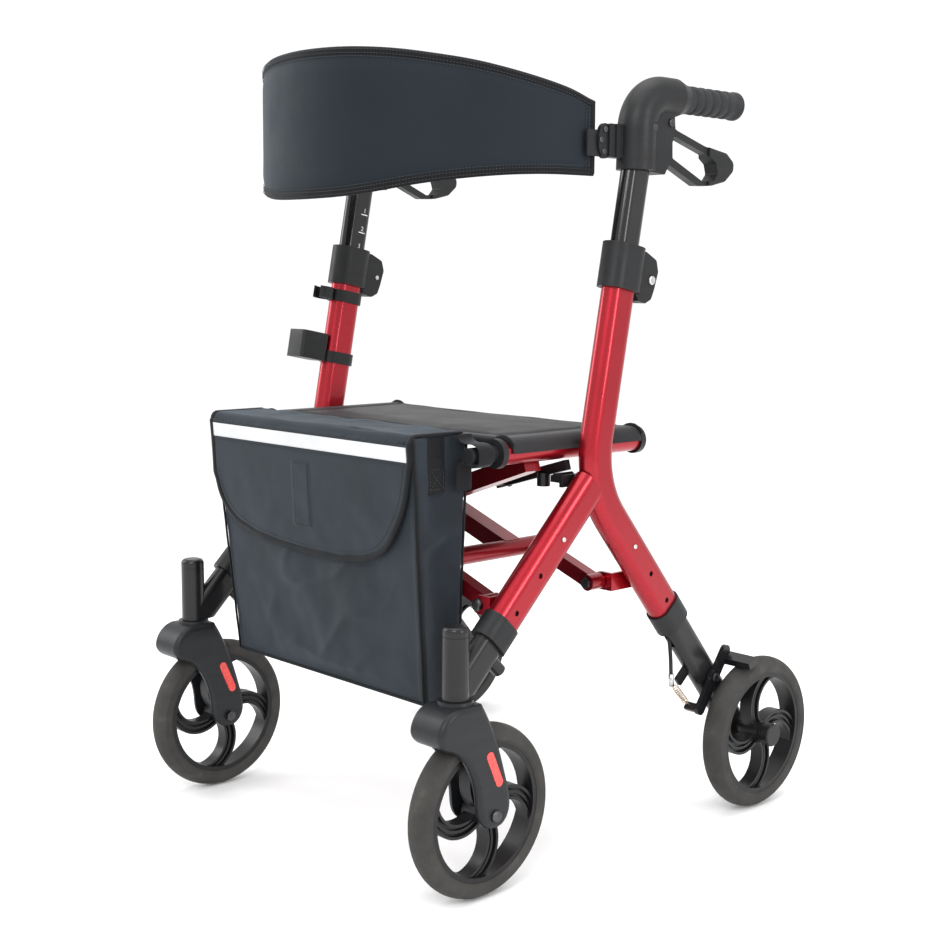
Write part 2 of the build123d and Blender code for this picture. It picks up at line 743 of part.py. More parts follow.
def brake_cable():
    """Brake cable: through the post, down the upright and rear leg, and out above the brake."""
    route = [
        (50, 833), (26, 833), (10, 810), (-37, 560), (-44, 498), (-36, 446), (-8, 398), (66, 308),
        (92, 262), (101, 226), (104, 184),
    ]
    diameter = 5.0
    runs = [hypot(b[0] - a[0], b[1] - a[1]) for a, b in zip(route, route[1:])]
    turns = [
        Vector(b[0] - a[0], b[1] - a[1]).get_angle(Vector(c[0] - b[0], c[1] - b[1]))
        for a, b, c in zip(route, route[1:], route[2:])
    ]
    radii = [
        0.45 * min(before, after) / tan(radians(turn) / 2)
        for before, after, turn in zip(runs, runs[1:], turns)
    ]
    print("brake cable radii", [round(radius) for radius in radii])
    with BuildPart() as cable:
        with BuildLine(SIDE) as path:
            FilletPolyline(*route, radius=radii)
        with BuildSketch(Plane(origin=path.line @ 0, z_dir=path.line % 0)):
            Circle(diameter / 2)
        sweep()
    print("brake cable length", round(path.wire().length), "volume", round(cable.part.volume))
    return cable.part


def brace(side, diagonal_y):
    """Half of the cross brace: two arms, a crossbar and the diagonal that carries a seat rail."""
    along = Vector(side * PIVOT_X, -BRACE_RISE).normalized()
    tilt = degrees(atan2(along.Y, along.X))
    bar_z = BRACE_MID_Z - BRACE_RISE * CROSSBAR_X / PIVOT_X
    arm_middle = (side * (PIVOT_X + CROSSBAR_X) / 2, (PIVOT_Z + bar_z) / 2)
    arm_length = hypot(PIVOT_X - CROSSBAR_X, bar_z - PIVOT_Z)
    far = (-side * (PIVOT_X - 3), BRACE_MID_Z + BRACE_RISE)
    near = (side * CROSSBAR_X, bar_z)
    diagonal_middle = ((far[0] + near[0]) / 2, (far[1] + near[1]) / 2)
    diagonal_length = hypot(far[0] - near[0], far[1] - near[1])
    with BuildPart() as half:
        for arm_y in ARM_YS:
            with BuildSketch(xz_plane(arm_y + 11.5)):
                with Locations((side * PIVOT_X, PIVOT_Z)):
                    Circle(10)
            extrude(amount=23)
            with BuildSketch(xz_plane(arm_y + 8)):
                with Locations(arm_middle):
                    Rectangle(arm_length, 18, rotation=tilt)
            extrude(amount=16)
        with BuildSketch(xz_plane(ARM_YS[1] + 8)):
            with Locations((side * CROSSBAR_X, bar_z)):
                Circle(11)
        extrude(amount=ARM_YS[1] - ARM_YS[0] + 16)
        with BuildSketch(xz_plane(diagonal_y + DIAGONAL_W / 2)):
            with Locations(diagonal_middle):
                Rectangle(diagonal_length, DIAGONAL_H, rotation=tilt)
        extrude(amount=DIAGONAL_W)
        with BuildSketch(xz_plane(diagonal_y + DIAGONAL_W / 2)):
            with Locations((0, BRACE_MID_Z)):
                Circle(16)
        extrude(amount=DIAGONAL_W)
        with BuildSketch(xz_plane(RAIL_Y[1])):
            with Locations((-side * PIVOT_X, RAIL_Z)):
                Circle(RAIL_R)
        extrude(amount=RAIL_Y[1] - RAIL_Y[0], mode=Mode.SUBTRACT)
        for arm_y in ARM_YS:
            with BuildSketch(xz_plane(arm_y + 12)):
                with Locations((side * PIVOT_X, PIVOT_Z)):
                    Circle(4.0 + RUN_FIT)
            extrude(amount=24, mode=Mode.SUBTRACT)
        with BuildSketch(xz_plane(0)):
            with Locations((0, BRACE_MID_Z)):
                Circle(BRACE_BOLT_R + RUN_FIT)
        extrude(amount=180, mode=Mode.SUBTRACT)
    return half.part


def brace_pivot():
    """Through bolt and spacer sleeve at the middle of the cross brace."""
    front_y = DIAGONAL_B_Y - DIAGONAL_W / 2 - 1
    rear_y = DIAGONAL_A_Y + DIAGONAL_W / 2
    start = (0, front_y, BRACE_MID_Z)
    bolt = screw(start, (0, rear_y + 6, BRACE_MID_Z), BRACE_BOLT_R, 9.0, 5.0, 9.0, 5.5)
    gap = (DIAGONAL_B_Y + DIAGONAL_W / 2 + 0.5, DIAGONAL_A_Y - DIAGONAL_W / 2 - RUN_FIT)
    sleeve = rod((0, gap[0], BRACE_MID_Z), (0, gap[1], BRACE_MID_Z), 10)
    with BuildPart() as pivot:
        add(bolt)
        add(sleeve)
    return pivot.part


def rest_arm(side, brace_y):
    """Flat arm bolted to a brace; its outer end sits on the side frame's bracket."""
    inner, outer = (120, 440), (236, 474.5)
    arm_y = (-80.0, -72.0)
    tilt = degrees(atan2(outer[1] - inner[1], outer[0] - inner[0]))
    middle = (side * (inner[0] + outer[0]) / 2, (inner[1] + outer[1]) / 2)
    length = hypot(outer[0] - inner[0], outer[1] - inner[1])
    in_front = brace_y < arm_y[0]
    brace_face = brace_y + (DIAGONAL_W if in_front else -DIAGONAL_W) / 2
    head_y = arm_y[1] if in_front else arm_y[0]
    bolt = screw((side * 134, head_y, 444), (side * 134, brace_face, 444), 4.0, 7.0, 3.0)
    with BuildPart() as arm:
        with BuildSketch(xz_plane(arm_y[1])):
            with Locations(middle):
                Rectangle(length, 12, rotation=side * tilt)
        extrude(amount=arm_y[1] - arm_y[0])
        add(bolt)
        with BuildSketch(Plane.XY.offset(446)):
            with Locations((side * 200, arm_y[0] + 1)):
                Circle(8)
        extrude(amount=16)
    return arm.part


def seat_rail():
    """Seat rail tube."""
    with BuildPart() as rail:
        with BuildSketch(xz_plane(RAIL_Y[1])):
            with Locations((PIVOT_X, RAIL_Z)):
                Circle(RAIL_R)
                Circle(RAIL_R - 1.8, mode=Mode.SUBTRACT)
        extrude(amount=RAIL_Y[1] - RAIL_Y[0])
    return rail.part


def rail_fittings():
    """End rings of a seat rail, its rear plug and the bag tube that slides in its front."""
    front, rear = RAIL_Y
    bag_tube_r = 9.5
    with BuildPart() as ends:
        for start, length in ((front + 3, 8), (rear + 3, 8)):
            with BuildSketch(xz_plane(start)):
                with Locations((PIVOT_X, RAIL_Z)):
                    Circle(17)
            extrude(amount=length)
        with BuildSketch(xz_plane(-225)):
            with Locations((PIVOT_X, RAIL_Z)):
                Circle(bag_tube_r)
        extrude(amount=-78)
        for start, length in ((front, -4), (rear, 6)):
            with BuildSketch(xz_plane(start)):
                with Locations((PIVOT_X, RAIL_Z)):
                    Circle(RAIL_R + 0.02)
                    Circle(RAIL_R - 1.82, mode=Mode.SUBTRACT)
            extrude(amount=length, mode=Mode.SUBTRACT)
    return ends.part


def seat():
    """Padded seat sling with a sleeve over each rail."""
    start_y, end_y = -168.0, 54.0
    inner_r, outer_r = RAIL_R + 0.4, RAIL_R + 3.4
    with BuildPart() as sling:
        for side in (-1, 1):
            with BuildSketch(xz_plane(end_y)):
                with Locations((side * PIVOT_X, RAIL_Z)):
                    Circle(outer_r)
                    Circle(inner_r, mode=Mode.SUBTRACT)
                with Locations((side * PIVOT_X, RAIL_Z - 20)):
                    Rectangle(50, 40, mode=Mode.SUBTRACT)
            extrude(amount=end_y - start_y)
        with BuildSketch(xz_plane(end_y)):
            with Locations((0, RAIL_Z + 10)):
                Rectangle(2 * PIVOT_X - 32, 12)
            with Locations((0, RAIL_Z + 9)):
                Rectangle(2 * PIVOT_X - 26, 8)
            with Locations((-PIVOT_X, RAIL_Z), (PIVOT_X, RAIL_Z)):
                Circle(inner_r, mode=Mode.SUBTRACT)
        extrude(amount=end_y - start_y)
    return sling.part


def bag():
    """Front bag, closed by its flap and a little narrower at its foot."""
    with BuildPart() as body:
        with BuildSketch(Plane.XY.offset(206)):
            with Locations((0, -225)):
                RectangleRounded(364, 54, 12)
        with BuildSketch(Plane.XY.offset(516)):
            with Locations((0, -239.5)):
                RectangleRounded(392, 83, 12)
        loft()
    return body.part


def backrest():
    """Padded backrest strap: a bow in plan, deeper at its middle than at its ends."""
    side_view = [
        (-40, 889), (-70, 902), (-106, 910), (-148, 920), (-186, 929), (-219, 935), (-246, 941), (-290, 948),
        (-290, 779), (-266, 784), (-246, 791), (-219, 798), (-186, 803), (-148, 807), (-106, 809), (-40, 809),
    ]
    with BuildPart() as strap:
        with BuildSketch(Plane.XY.offset(770)):
            with Locations((0, -14)):
                Ellipse(243.5, 272)
                Ellipse(235.5, 264, mode=Mode.SUBTRACT)
            with Locations((0, 158)):
                Rectangle(520, 400, mode=Mode.SUBTRACT)
        extrude(amount=200)
        with BuildSketch(yz_plane(0)):
            with BuildLine():
                Polyline(*side_view, close=True)
            make_face()
        extrude(amount=260, both=True, mode=Mode.INTERSECT)
    return strap.part


def cane_holder():
    """Cane clip and cane cup strapped to the right upright."""
    levels = (205.0, 118.0)
    with BuildPart() as holder:
        for distance in levels:
            with BuildSketch(station(UP, distance)):
                SlotOverall(TUBE_DEPTH + 6, TUBE_WIDTH + 6, rotation=90)
                SlotOverall(TUBE_DEPTH, TUBE_WIDTH, rotation=90, mode=Mode.SUBTRACT)
            extrude(amount=16)
        with BuildSketch(station(UP, levels[0])):
            with Locations((0, -38)):
                Circle(14)
                Circle(11, mode=Mode.SUBTRACT)
                with Locations((0, -12)):
                    Rectangle(14, 14, mode=Mode.SUBTRACT)
        extrude(amount=16)
        with BuildSketch(station(UP, levels[1])):
            with Locations((7, -47)):
                RectangleRounded(38, 44, 6)
        extrude(amount=38)
        with BuildSketch(station(UP, levels[1] + 3)):
            with Locations((7, -47)):
                RectangleRounded(32, 38, 4)
        extrude(amount=45, mode=Mode.SUBTRACT)
    with BuildPart() as opposite:
        mirror(holder.part, about=Plane.YZ)
    return opposite.part


write_pair(side_frame(), "frame")
write_pair(fittings(), "fittings")
write_pair(frame_bolts(), "frame_bolts")
write_pair(brake_cable(), "brake_cable")
write_pair(post(), "post")
write_pair(housing(), "housing")
write_pair(grip(), "grip")
write_pair(handle_bolts(), "handle_bolts")
write_pair(brake_lever(), "brake_lever")
write_pair(backrest_bracket(), "backrest_bracket")
write_pair(front_insert(), "front_insert")
write_pair(leg_button(FORWARD, FRONT_HOLES[0]), "front_button")
write_pair(caster_fork(), "fork")
write_pair(reflectors(), "reflectors")
write_pair(caster_hardware(), "caster_hardware")
write_pair(wheel_rim(STEM_X, FRONT_AXLE_Y, 4.0, 0), "front_rim")
write_pair(tyre(STEM_X, FRONT_AXLE_Y), "front_tyre")
write_pair(rear_insert(), "rear_insert")
write_pair(leg_button(BACKWARD, REAR_HOLES[0]), "rear_button")
write_pair(rear_hardware(), "rear_hardware")
write_pair(brake_spring(), "brake_spring")
write_pair(brake_arm(), "brake_arm")
write_pair(wheel_rim(REAR_WHEEL_X, REAR_AXLE_Y, AXLE_R, 17), "rear_rim")
write_pair(tyre(REAR_WHEEL_X, REAR_AXLE_Y), "rear_tyre")
write(rest_arm(1, DIAGONAL_B_Y), "left_rest_arm")
write(rest_arm(-1, DIAGONAL_A_Y), "right_rest_arm")
write_pair(seat_rail(), "seat_rail")
write_pair(rail_fittings(), "rail_fittings")
with BuildPart() as pivoted_brace:
    add(brace(1, DIAGONAL_A_Y))
    add(brace_pivot())
write(pivoted_brace.part, "brace_a")
write(brace(-1, DIAGONAL_B_Y), "brace_b")
write(seat(), "seat")
write(bag(), "bag")
write(backrest(), "backrest")
write(cane_holder(), "cane_holder")
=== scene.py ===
import json
import math

import bmesh
import bpy
import numpy as np
from mathutils import Matrix, Vector, noise


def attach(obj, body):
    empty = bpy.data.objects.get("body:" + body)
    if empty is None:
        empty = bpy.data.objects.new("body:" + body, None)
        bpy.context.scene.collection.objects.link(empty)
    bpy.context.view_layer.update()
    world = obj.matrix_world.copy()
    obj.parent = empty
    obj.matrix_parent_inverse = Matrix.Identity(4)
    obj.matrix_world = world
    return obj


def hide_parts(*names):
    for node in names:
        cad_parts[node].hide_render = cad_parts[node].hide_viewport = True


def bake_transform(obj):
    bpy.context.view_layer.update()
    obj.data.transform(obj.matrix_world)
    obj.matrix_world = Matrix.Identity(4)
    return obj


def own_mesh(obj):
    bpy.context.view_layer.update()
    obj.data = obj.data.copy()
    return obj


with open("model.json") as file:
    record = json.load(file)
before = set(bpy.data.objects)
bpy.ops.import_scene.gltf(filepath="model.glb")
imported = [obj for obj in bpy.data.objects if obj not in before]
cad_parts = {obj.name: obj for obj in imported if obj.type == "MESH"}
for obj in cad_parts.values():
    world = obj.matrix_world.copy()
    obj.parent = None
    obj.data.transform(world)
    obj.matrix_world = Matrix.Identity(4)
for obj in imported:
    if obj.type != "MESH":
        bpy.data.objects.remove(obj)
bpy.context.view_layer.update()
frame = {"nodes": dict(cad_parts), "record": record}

# Looks of the rollator walker. Metres, in the CAD model's frame: +X the user's left, +Y the rear, +Z up.
MM = 0.001
SIDES = (("left", 1), ("right", -1))

# ---------------------------------------------------------------- materials


class Look:
    """A node material built round one Principled shader."""

    def __init__(self, name, **sockets):
        self.material = bpy.data.materials.new(name)
        self.material.use_nodes = True
        self.tree = self.material.node_tree
        self.shader = self.tree.nodes["Principled BSDF"]
        for socket, value in sockets.items():
            self.shader.inputs[socket.replace("_", " ")].default_value = value

    def node(self, kind, links=None, values=None, **settings):
        made = self.tree.nodes.new(kind)
        for key, value in settings.items():
            setattr(made, key, value)
        for socket, value in (values or {}).items():
            made.inputs[socket].default_value = value
        for socket, source in (links or {}).items():
            self.tree.links.new(source, made.inputs[socket])
        return made

    def link(self, source, socket):
        self.tree.links.new(source, self.shader.inputs[socket])

    def place(self, scale=(1, 1, 1), uv=False):
        """Texture coordinates, in metres, from the piece's own space or its UV map."""
        spot = self.node("ShaderNodeTexCoord")
        source = spot.outputs["UV" if uv else "Object"]
        mapping = self.node("ShaderNodeMapping", {"Vector": source}, {"Scale": scale})
        return mapping.outputs["Vector"]

    def noise(self, where, scale, detail=3.0, rough=0.5):
        made = self.node(
            "ShaderNodeTexNoise", {"Vector": where},
            {"Scale": scale, "Detail": detail, "Roughness": rough},
        )
        return made.outputs["Fac"]

    def wave(self, where, pitch, direction):
        """Sine bands of a given pitch in metres."""
        made = self.node(
            "ShaderNodeTexWave", {"Vector": where}, {"Scale": 1 / (pitch * 3.183), "Distortion": 0.0},
            bands_direction=direction,
        )
        return made.outputs["Fac"]

    def math(self, operation, a, b):
        made = self.node("ShaderNodeMath", operation=operation)
        for index, value in enumerate((a, b)):
            if isinstance(value, (int, float)):
                made.inputs[index].default_value = value
            else:
                self.tree.links.new(value, made.inputs[index])
        return made.outputs["Value"]

    def spread(self, source, low, high, start=0.3, end=0.7):
        made = self.node(
            "ShaderNodeMapRange", {"Value": source},
            {"From Min": start, "From Max": end, "To Min": low, "To Max": high},
        )
        return made.outputs["Result"]

    def colours(self, source, stops):
        ramp = self.node("ShaderNodeValToRGB", {"Fac": source})
        elements = ramp.color_ramp.elements
        while len(elements) < len(stops):
            elements.new(0.5)
        for element, (position, colour) in zip(elements, stops):
            element.position = position
            element.color = (*colour, 1)
        self.link(ramp.outputs["Color"], "Base Color")

    def bumps(self, *layers):
        """Height layers as (source, strength, distance), the broadest first."""
        normal = None
        for source, strength, distance in layers:
            links = {"Height": source}
            if normal is not None:
                links["Normal"] = normal
            made = self.node("ShaderNodeBump", links, {"Strength": strength, "Distance": distance})
            normal = made.outputs["Normal"]
        self.link(normal, "Normal")


def shades(colour, low=0.75, high=1.25):
    return [(0.3, tuple(c * low for c in colour)), (0.7, tuple(c * high for c in colour))]


def lacquer(name, colour, rough, metal, coat=1.0):
    """Metallic lacquer: flakes, faint orange peel and a slightly uneven clear coat."""
    look = Look(name, Metallic=metal, Coat_Weight=coat, Coat_Roughness=0.06)
    where = look.place()
    flakes = look.node("ShaderNodeTexVoronoi", {"Vector": where}, {"Scale": 1800.0}).outputs["Distance"]
    look.colours(look.noise(where, 900, 4), shades(colour, 0.82, 1.2))
    look.link(look.spread(look.noise(where, 14, 4), rough * 0.8, rough * 1.25), "Roughness")
    look.bumps((look.noise(where, 160, 2), 0.06, 0.0004), (flakes, 0.05, 0.0001))
    return look.material


def coated(name, colour, rough, coat=0.0, grain=700, relief=0.12):
    """Powder coat, anodising or plain paint with a fine grain and handling marks."""
    look = Look(name, Specular_IOR_Level=0.3, Coat_Weight=coat, Coat_Roughness=0.08)
    where = look.place()
    look.colours(look.noise(where, 35, 5), shades(colour, 0.8, 1.25))
    smudge = look.noise(where, 9, 5, 0.6)
    look.link(look.spread(smudge, rough * 0.75, rough * 1.35), "Roughness")
    look.bumps((look.noise(where, grain, 3), relief, 0.0002))
    return look.material


def moulded(name, colour, rough, grain=1100, relief=0.25):
    """Moulded plastic: spark-eroded grain, faint flow marks and uneven sheen."""
    look = Look(name, Specular_IOR_Level=0.28)
    where = look.place()
    flow = look.noise(look.place((3, 1, 9)), 12, 4)
    broad = look.math("MULTIPLY", flow, 0.6)
    fine = look.math("MULTIPLY", look.noise(where, 300, 3), 0.4)
    look.colours(look.math("ADD", broad, fine), shades(colour, 0.78, 1.28))
    look.link(look.spread(look.noise(where, 25, 5), rough * 0.8, rough * 1.2), "Roughness")
    look.bumps((look.noise(where, 40, 2), 0.05, 0.001), (look.noise(where, grain, 2), relief, 0.00015))
    return look.material


def metal(name, colour, rough):
    """Plated or drawn metal with fine turning marks and darker patches."""
    look = Look(name, Metallic=1.0)
    where = look.place()
    marks = look.noise(look.place((60, 60, 900)), 6, 3)
    look.colours(look.noise(where, 120, 5), shades(colour, 0.7, 1.2))
    look.link(look.spread(marks, rough * 0.7, rough * 1.4), "Roughness")
    look.bumps((marks, 0.08, 0.0001))
    return look.material


def rubber(name, colour, rough, scuff):
    """Rubber or vinyl: cloudy colour, dusty scuffs and a fine pebble."""
    look = Look(name, Specular_IOR_Level=0.25)
    where = look.place()
    clouds = look.noise(where, 28, 6, 0.6)
    look.colours(clouds, [(0.32, tuple(c * 0.7 for c in colour)), (0.6, colour), (0.78, scuff)])
    look.link(look.spread(look.noise(where, 60, 5), rough * 0.85, min(rough * 1.15, 1)), "Roughness")
    look.bumps((look.noise(where, 90, 3), 0.12, 0.0006), (look.noise(where, 1500, 2), 0.2, 0.0001))
    return look.material


def cloth(name, colour, pitch, rough, relief, clouds=(0.7, 1.35), sheen=0.35, uv=True, tint=(0.5, 0.6, 0.7, 1)):
    """Woven cloth: over-and-under threads, slubs, cloudy colour and a soft sheen."""
    look = Look(name, Specular_IOR_Level=0.15, Sheen_Weight=sheen, Sheen_Roughness=0.45, Sheen_Tint=tint)
    where = look.place(uv=uv)
    warp = look.wave(where, pitch, "X")
    weft = look.wave(where, pitch, "Y")
    weave = look.math("MAXIMUM", look.math("MULTIPLY", warp, 0.9), weft)
    slub = look.noise(look.place((40, 1400, 1), uv=uv), 1, 3)
    cloud = look.noise(where, 11, 5, 0.55)
    mixed = look.math("ADD", look.math("MULTIPLY", cloud, 0.72),
                      look.math("ADD", look.math("MULTIPLY", weave, 0.16), look.math("MULTIPLY", slub, 0.12)))
    look.colours(mixed, [(0.34, tuple(c * clouds[0] for c in colour)), (0.72, tuple(c * clouds[1] for c in colour))])
    look.link(look.spread(cloud, rough * 0.85, min(rough * 1.15, 1)), "Roughness")
    look.bumps((look.noise(where, 55, 4), 0.25, 0.0012), (weave, relief, 0.0003), (slub, 0.15, 0.0002))
    return look.material


def lens():
    """Red reflector: gloss over a grid of small prisms."""
    look = Look("red_reflector", Roughness=0.12, Coat_Weight=1.0, Coat_Roughness=0.03)
    where = look.place()
    prisms = look.node("ShaderNodeTexVoronoi", {"Vector": where}, {"Scale": 420.0}, feature="F1").outputs["Distance"]
    look.colours(prisms, [(0.1, (0.9, 0.035, 0.015)), (0.7, (0.62, 0.012, 0.008))])
    look.bumps((prisms, 0.35, 0.0006))
    return look.material


LOOKS = {
    "red_paint": lacquer("red_paint", (0.34, 0.006, 0.016), 0.30, 0.8, 0.4),
    "brace_paint": lacquer("brace_paint", (0.25, 0.004, 0.011), 0.32, 0.8, 0.4),
    "black_paint": coated("black_paint", (0.007, 0.007, 0.008), 0.32, 0.15),
    "black_anodised": coated("black_anodised", (0.005, 0.005, 0.006), 0.17, 0.35, 300, 0.05),
    "charcoal_plastic": moulded("charcoal_plastic", (0.010, 0.0105, 0.0115), 0.45),
    "fork_plastic": moulded("fork_plastic", (0.012, 0.013, 0.015), 0.38),
    "rim_plastic": moulded("rim_plastic", (0.009, 0.009, 0.010), 0.38),
    "tyre": rubber("tyre", (0.044, 0.042, 0.039), 0.72, (0.075, 0.071, 0.066)),
    "grip_vinyl": rubber("grip_vinyl", (0.022, 0.023, 0.025), 0.60, (0.04, 0.04, 0.04)),
    "dark_steel": metal("dark_steel", (0.09, 0.09, 0.095), 0.34),
    "bright_screws": metal("bright_screws", (0.62, 0.61, 0.60), 0.26),
    "spring_steel": metal("spring_steel", (0.50, 0.38, 0.27), 0.30),
    "cable_sheath": rubber("cable_sheath", (0.012, 0.012, 0.012), 0.45, (0.03, 0.03, 0.03)),
    "red_reflector": lens(),
    "seat_nylon": cloth(
        "seat_nylon", (0.017, 0.0165, 0.018), 0.0011, 0.50, 0.35, (0.75, 1.3), 0.1, tint=(0.6, 0.6, 0.62, 1),
    ),
    "bag_nylon": cloth("bag_nylon", (0.013, 0.017, 0.022), 0.0010, 0.62, 0.5, (0.5, 1.6), 0.22),
    "strap_fabric": cloth("strap_fabric", (0.008, 0.012, 0.017), 0.0013, 0.58, 0.3, (0.85, 1.2), 0.12),
}
BINDING = cloth("binding", (0.005, 0.005, 0.006), 0.0014, 0.6, 0.5, (0.7, 1.3), 0.1)
WEBBING = cloth("webbing", (0.006, 0.006, 0.007), 0.0022, 0.55, 0.9, (0.7, 1.4), 0.1)
STRIP = cloth("reflective_strip", (0.60, 0.61, 0.62), 0.0009, 0.42, 0.3, (0.9, 1.08), 0.05)
THREAD = rubber("thread", (0.045, 0.048, 0.052), 0.7, (0.08, 0.08, 0.08))
MARKING = rubber("marking", (0.75, 0.75, 0.74), 0.5, (0.8, 0.8, 0.8))

slot_of = {part["node"]: part["material_slot"] for part in frame["record"]["subparts"]}
for name, obj in frame["nodes"].items():
    obj.data.materials.clear()
    obj.data.materials.append(LOOKS[slot_of[name]])



def paint_faces(node, look, chosen):
    """Give the faces whose centre is chosen a second material."""
    mesh = frame["nodes"][node].data
    mesh.materials.append(LOOKS[look])
    for face in mesh.polygons:
        if chosen(face.center / MM):
            face.material_index = 1


for side, sign in SIDES:
    paint_faces(f"{side}_frame_bolts", "bright_screws", lambda c: c.z > 600)
    paint_faces(f"{side}_rear_hardware", "black_paint", lambda c: c.z > 150)
paint_faces("brace_a", "dark_steel", lambda c: math.hypot(c.x, c.z - 402) < 10.5 and not -70.5 < c.y < -45.5)

# ---------------------------------------------------------------- mesh helpers


def new_object(name, points, faces, uv=None):
    mesh = bpy.data.meshes.new(name)
    mesh.from_pydata([tuple(float(c) for c in p) for p in points], [], faces)
    if uv is not None:
        layer = mesh.uv_layers.new(name="UVMap")
        for loop in mesh.loops:
            layer.data[loop.index].uv = uv[loop.vertex_index]
    editor = bmesh.new()
    editor.from_mesh(mesh)
    bmesh.ops.recalc_face_normals(editor, faces=editor.faces)
    editor.to_mesh(mesh)
    editor.free()
    mesh.shade_smooth()
    obj = bpy.data.objects.new(name, mesh)
    bpy.context.scene.collection.objects.link(obj)
    return obj


def finish_piece(obj, body, slot, material=None, blend=None):
    """Give a piece its material, its slot's look unless another is given, and let it ride on a body; a piece given a
    blend has its transform baked in instead.
    """
    obj.data.materials.clear()
    obj.data.materials.append(material or LOOKS[slot])
    if blend:
        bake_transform(obj)
    else:
        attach(obj, body)
    return obj


def grid_faces(rows, columns, wrap=False, start=0):
    faces = []
    for r in range(rows - 1):
        for c in range(columns if wrap else columns - 1):
            d = (c + 1) % columns
            a, b = start + r * columns, start + (r + 1) * columns
            faces.append((a + c, a + d, b + d, b + c))
    return faces


def closed_sheet(name, outer, inner, uv):
    """Closed thin form between two grids of the same size."""
    rows, columns = outer.shape[:2]
    count = rows * columns
    faces = grid_faces(rows, columns)
    faces += [tuple(reversed(face)) for face in grid_faces(rows, columns, start=count)]
    border = [c for c in range(columns)]
    border += [r * columns + columns - 1 for r in range(1, rows)]
    border += [(rows - 1) * columns + c for c in range(columns - 2, -1, -1)]
    border += [r * columns for r in range(rows - 2, 0, -1)]
    for a, b in zip(border, border[1:] + border[:1]):
        faces.append((b, a, a + count, b + count))
    points = np.vstack([outer.reshape(-1, 3), inner.reshape(-1, 3)])
    return new_object(name, points, faces, np.vstack([uv.reshape(-1, 2)] * 2))


def tube(name, path, width, thick, normals=None, sides=8, closed=False):
    """Rounded band swept along a path; normals say which way its thin side faces."""
    path = [Vector(p) for p in path]
    count = len(path)
    points, uv = [], []
    travelled = 0.0
    carried = Vector((0.13, 0.31, 0.94))
    for i, p in enumerate(path):
        before = path[i - 1] if (i or closed) else p
        after = path[(i + 1) % count] if (i < count - 1 or closed) else p
        along = (after - before).normalized()
        facing = Vector(normals[i]) if normals is not None else carried
        facing = (facing - along * facing.dot(along)).normalized()
        carried = facing
        across = along.cross(facing)
        if i:
            travelled += (p - path[i - 1]).length
        for k in range(sides):
            turn = 2 * math.pi * k / sides
            points.append(p + across * (width / 2 * math.cos(turn)) + facing * (thick / 2 * math.sin(turn)))
            uv.append((width * 1.5 * k / sides, travelled))
    faces = grid_faces(count, sides, wrap=True)
    if closed:
        last = (count - 1) * sides
        faces += [(last + k, last + (k + 1) % sides, (k + 1) % sides, k) for k in range(sides)]
    else:
        faces.append(tuple(range(sides)))
        faces.append(tuple((count - 1) * sides + k for k in reversed(range(sides))))
    return new_object(name, points, faces, uv)


def resample(path, step):
    """Points at even spacing along a polyline."""
    path = np.array(path, float)
    lengths = np.r_[0, np.cumsum(np.linalg.norm(np.diff(path, axis=0), axis=1))]
    spots = np.arange(0, lengths[-1], step)
    return np.stack([np.interp(spots, lengths, path[:, k]) for k in range(3)], 1)


def rounded(points, rounds=3):
    """Chaikin smoothing of an open polyline."""
    points = [Vector(p) for p in points]
    for _ in range(rounds):
        smooth = [points[0]]
        for a, b in zip(points, points[1:]):
            smooth += [a.lerp(b, 0.25), a.lerp(b, 0.75)]
        points = smooth + [points[-1]]
    return points


def stitches(name, runs, length=2.6 * MM, pitch=4.2 * MM, radius=0.45 * MM):
    """Rows of short thread stitches; each run is (path, outward normals function)."""
    points, faces = [], []
    for path, facing in runs:
        spots = resample(path, pitch)
        for i in range(len(spots) - 1):
            a = Vector(spots[i])
            along = (Vector(spots[i + 1]) - a).normalized()
            out = Vector(facing(a)).normalized()
            across = along.cross(out).normalized()
            start = len(points)
            for t, wide in ((0, 0.5), (0.25, 1), (0.75, 1), (1, 0.5)):
                lift = out * (radius * (0.1 if wide < 1 else 0.7))
                middle = a + along * (length * t) + lift
                for k in range(5):
                    turn = 2 * math.pi * k / 5
                    points.append(middle + (across * math.cos(turn) + out * math.sin(turn)) * radius * wide)
            faces += grid_faces(4, 5, wrap=True, start=start)
            faces.append(tuple(start + k for k in range(5)))
            faces.append(tuple(start + 15 + k for k in reversed(range(5))))
    return new_object(name, points, faces)


def ripple(x, y, z, scale, seed=0.0):
    """Smooth noise in -1..1, the same on every run."""
    return noise.noise(Vector((x / scale + seed, y / scale - seed, z / scale + 2 * seed)))


def ease(t):
    t = min(max(t, 0.0), 1.0)
    return t * t * (3 - 2 * t)


# ---------------------------------------------------------------- seat

RAIL_X, RAIL_Z = 222.0, 494.0
SEAT_FRONT, SEAT_REAR = -168.0, 54.0
SEAM_X, SEAM_FRONT, SEAM_REAR = 190.0, -146.0, 32.0


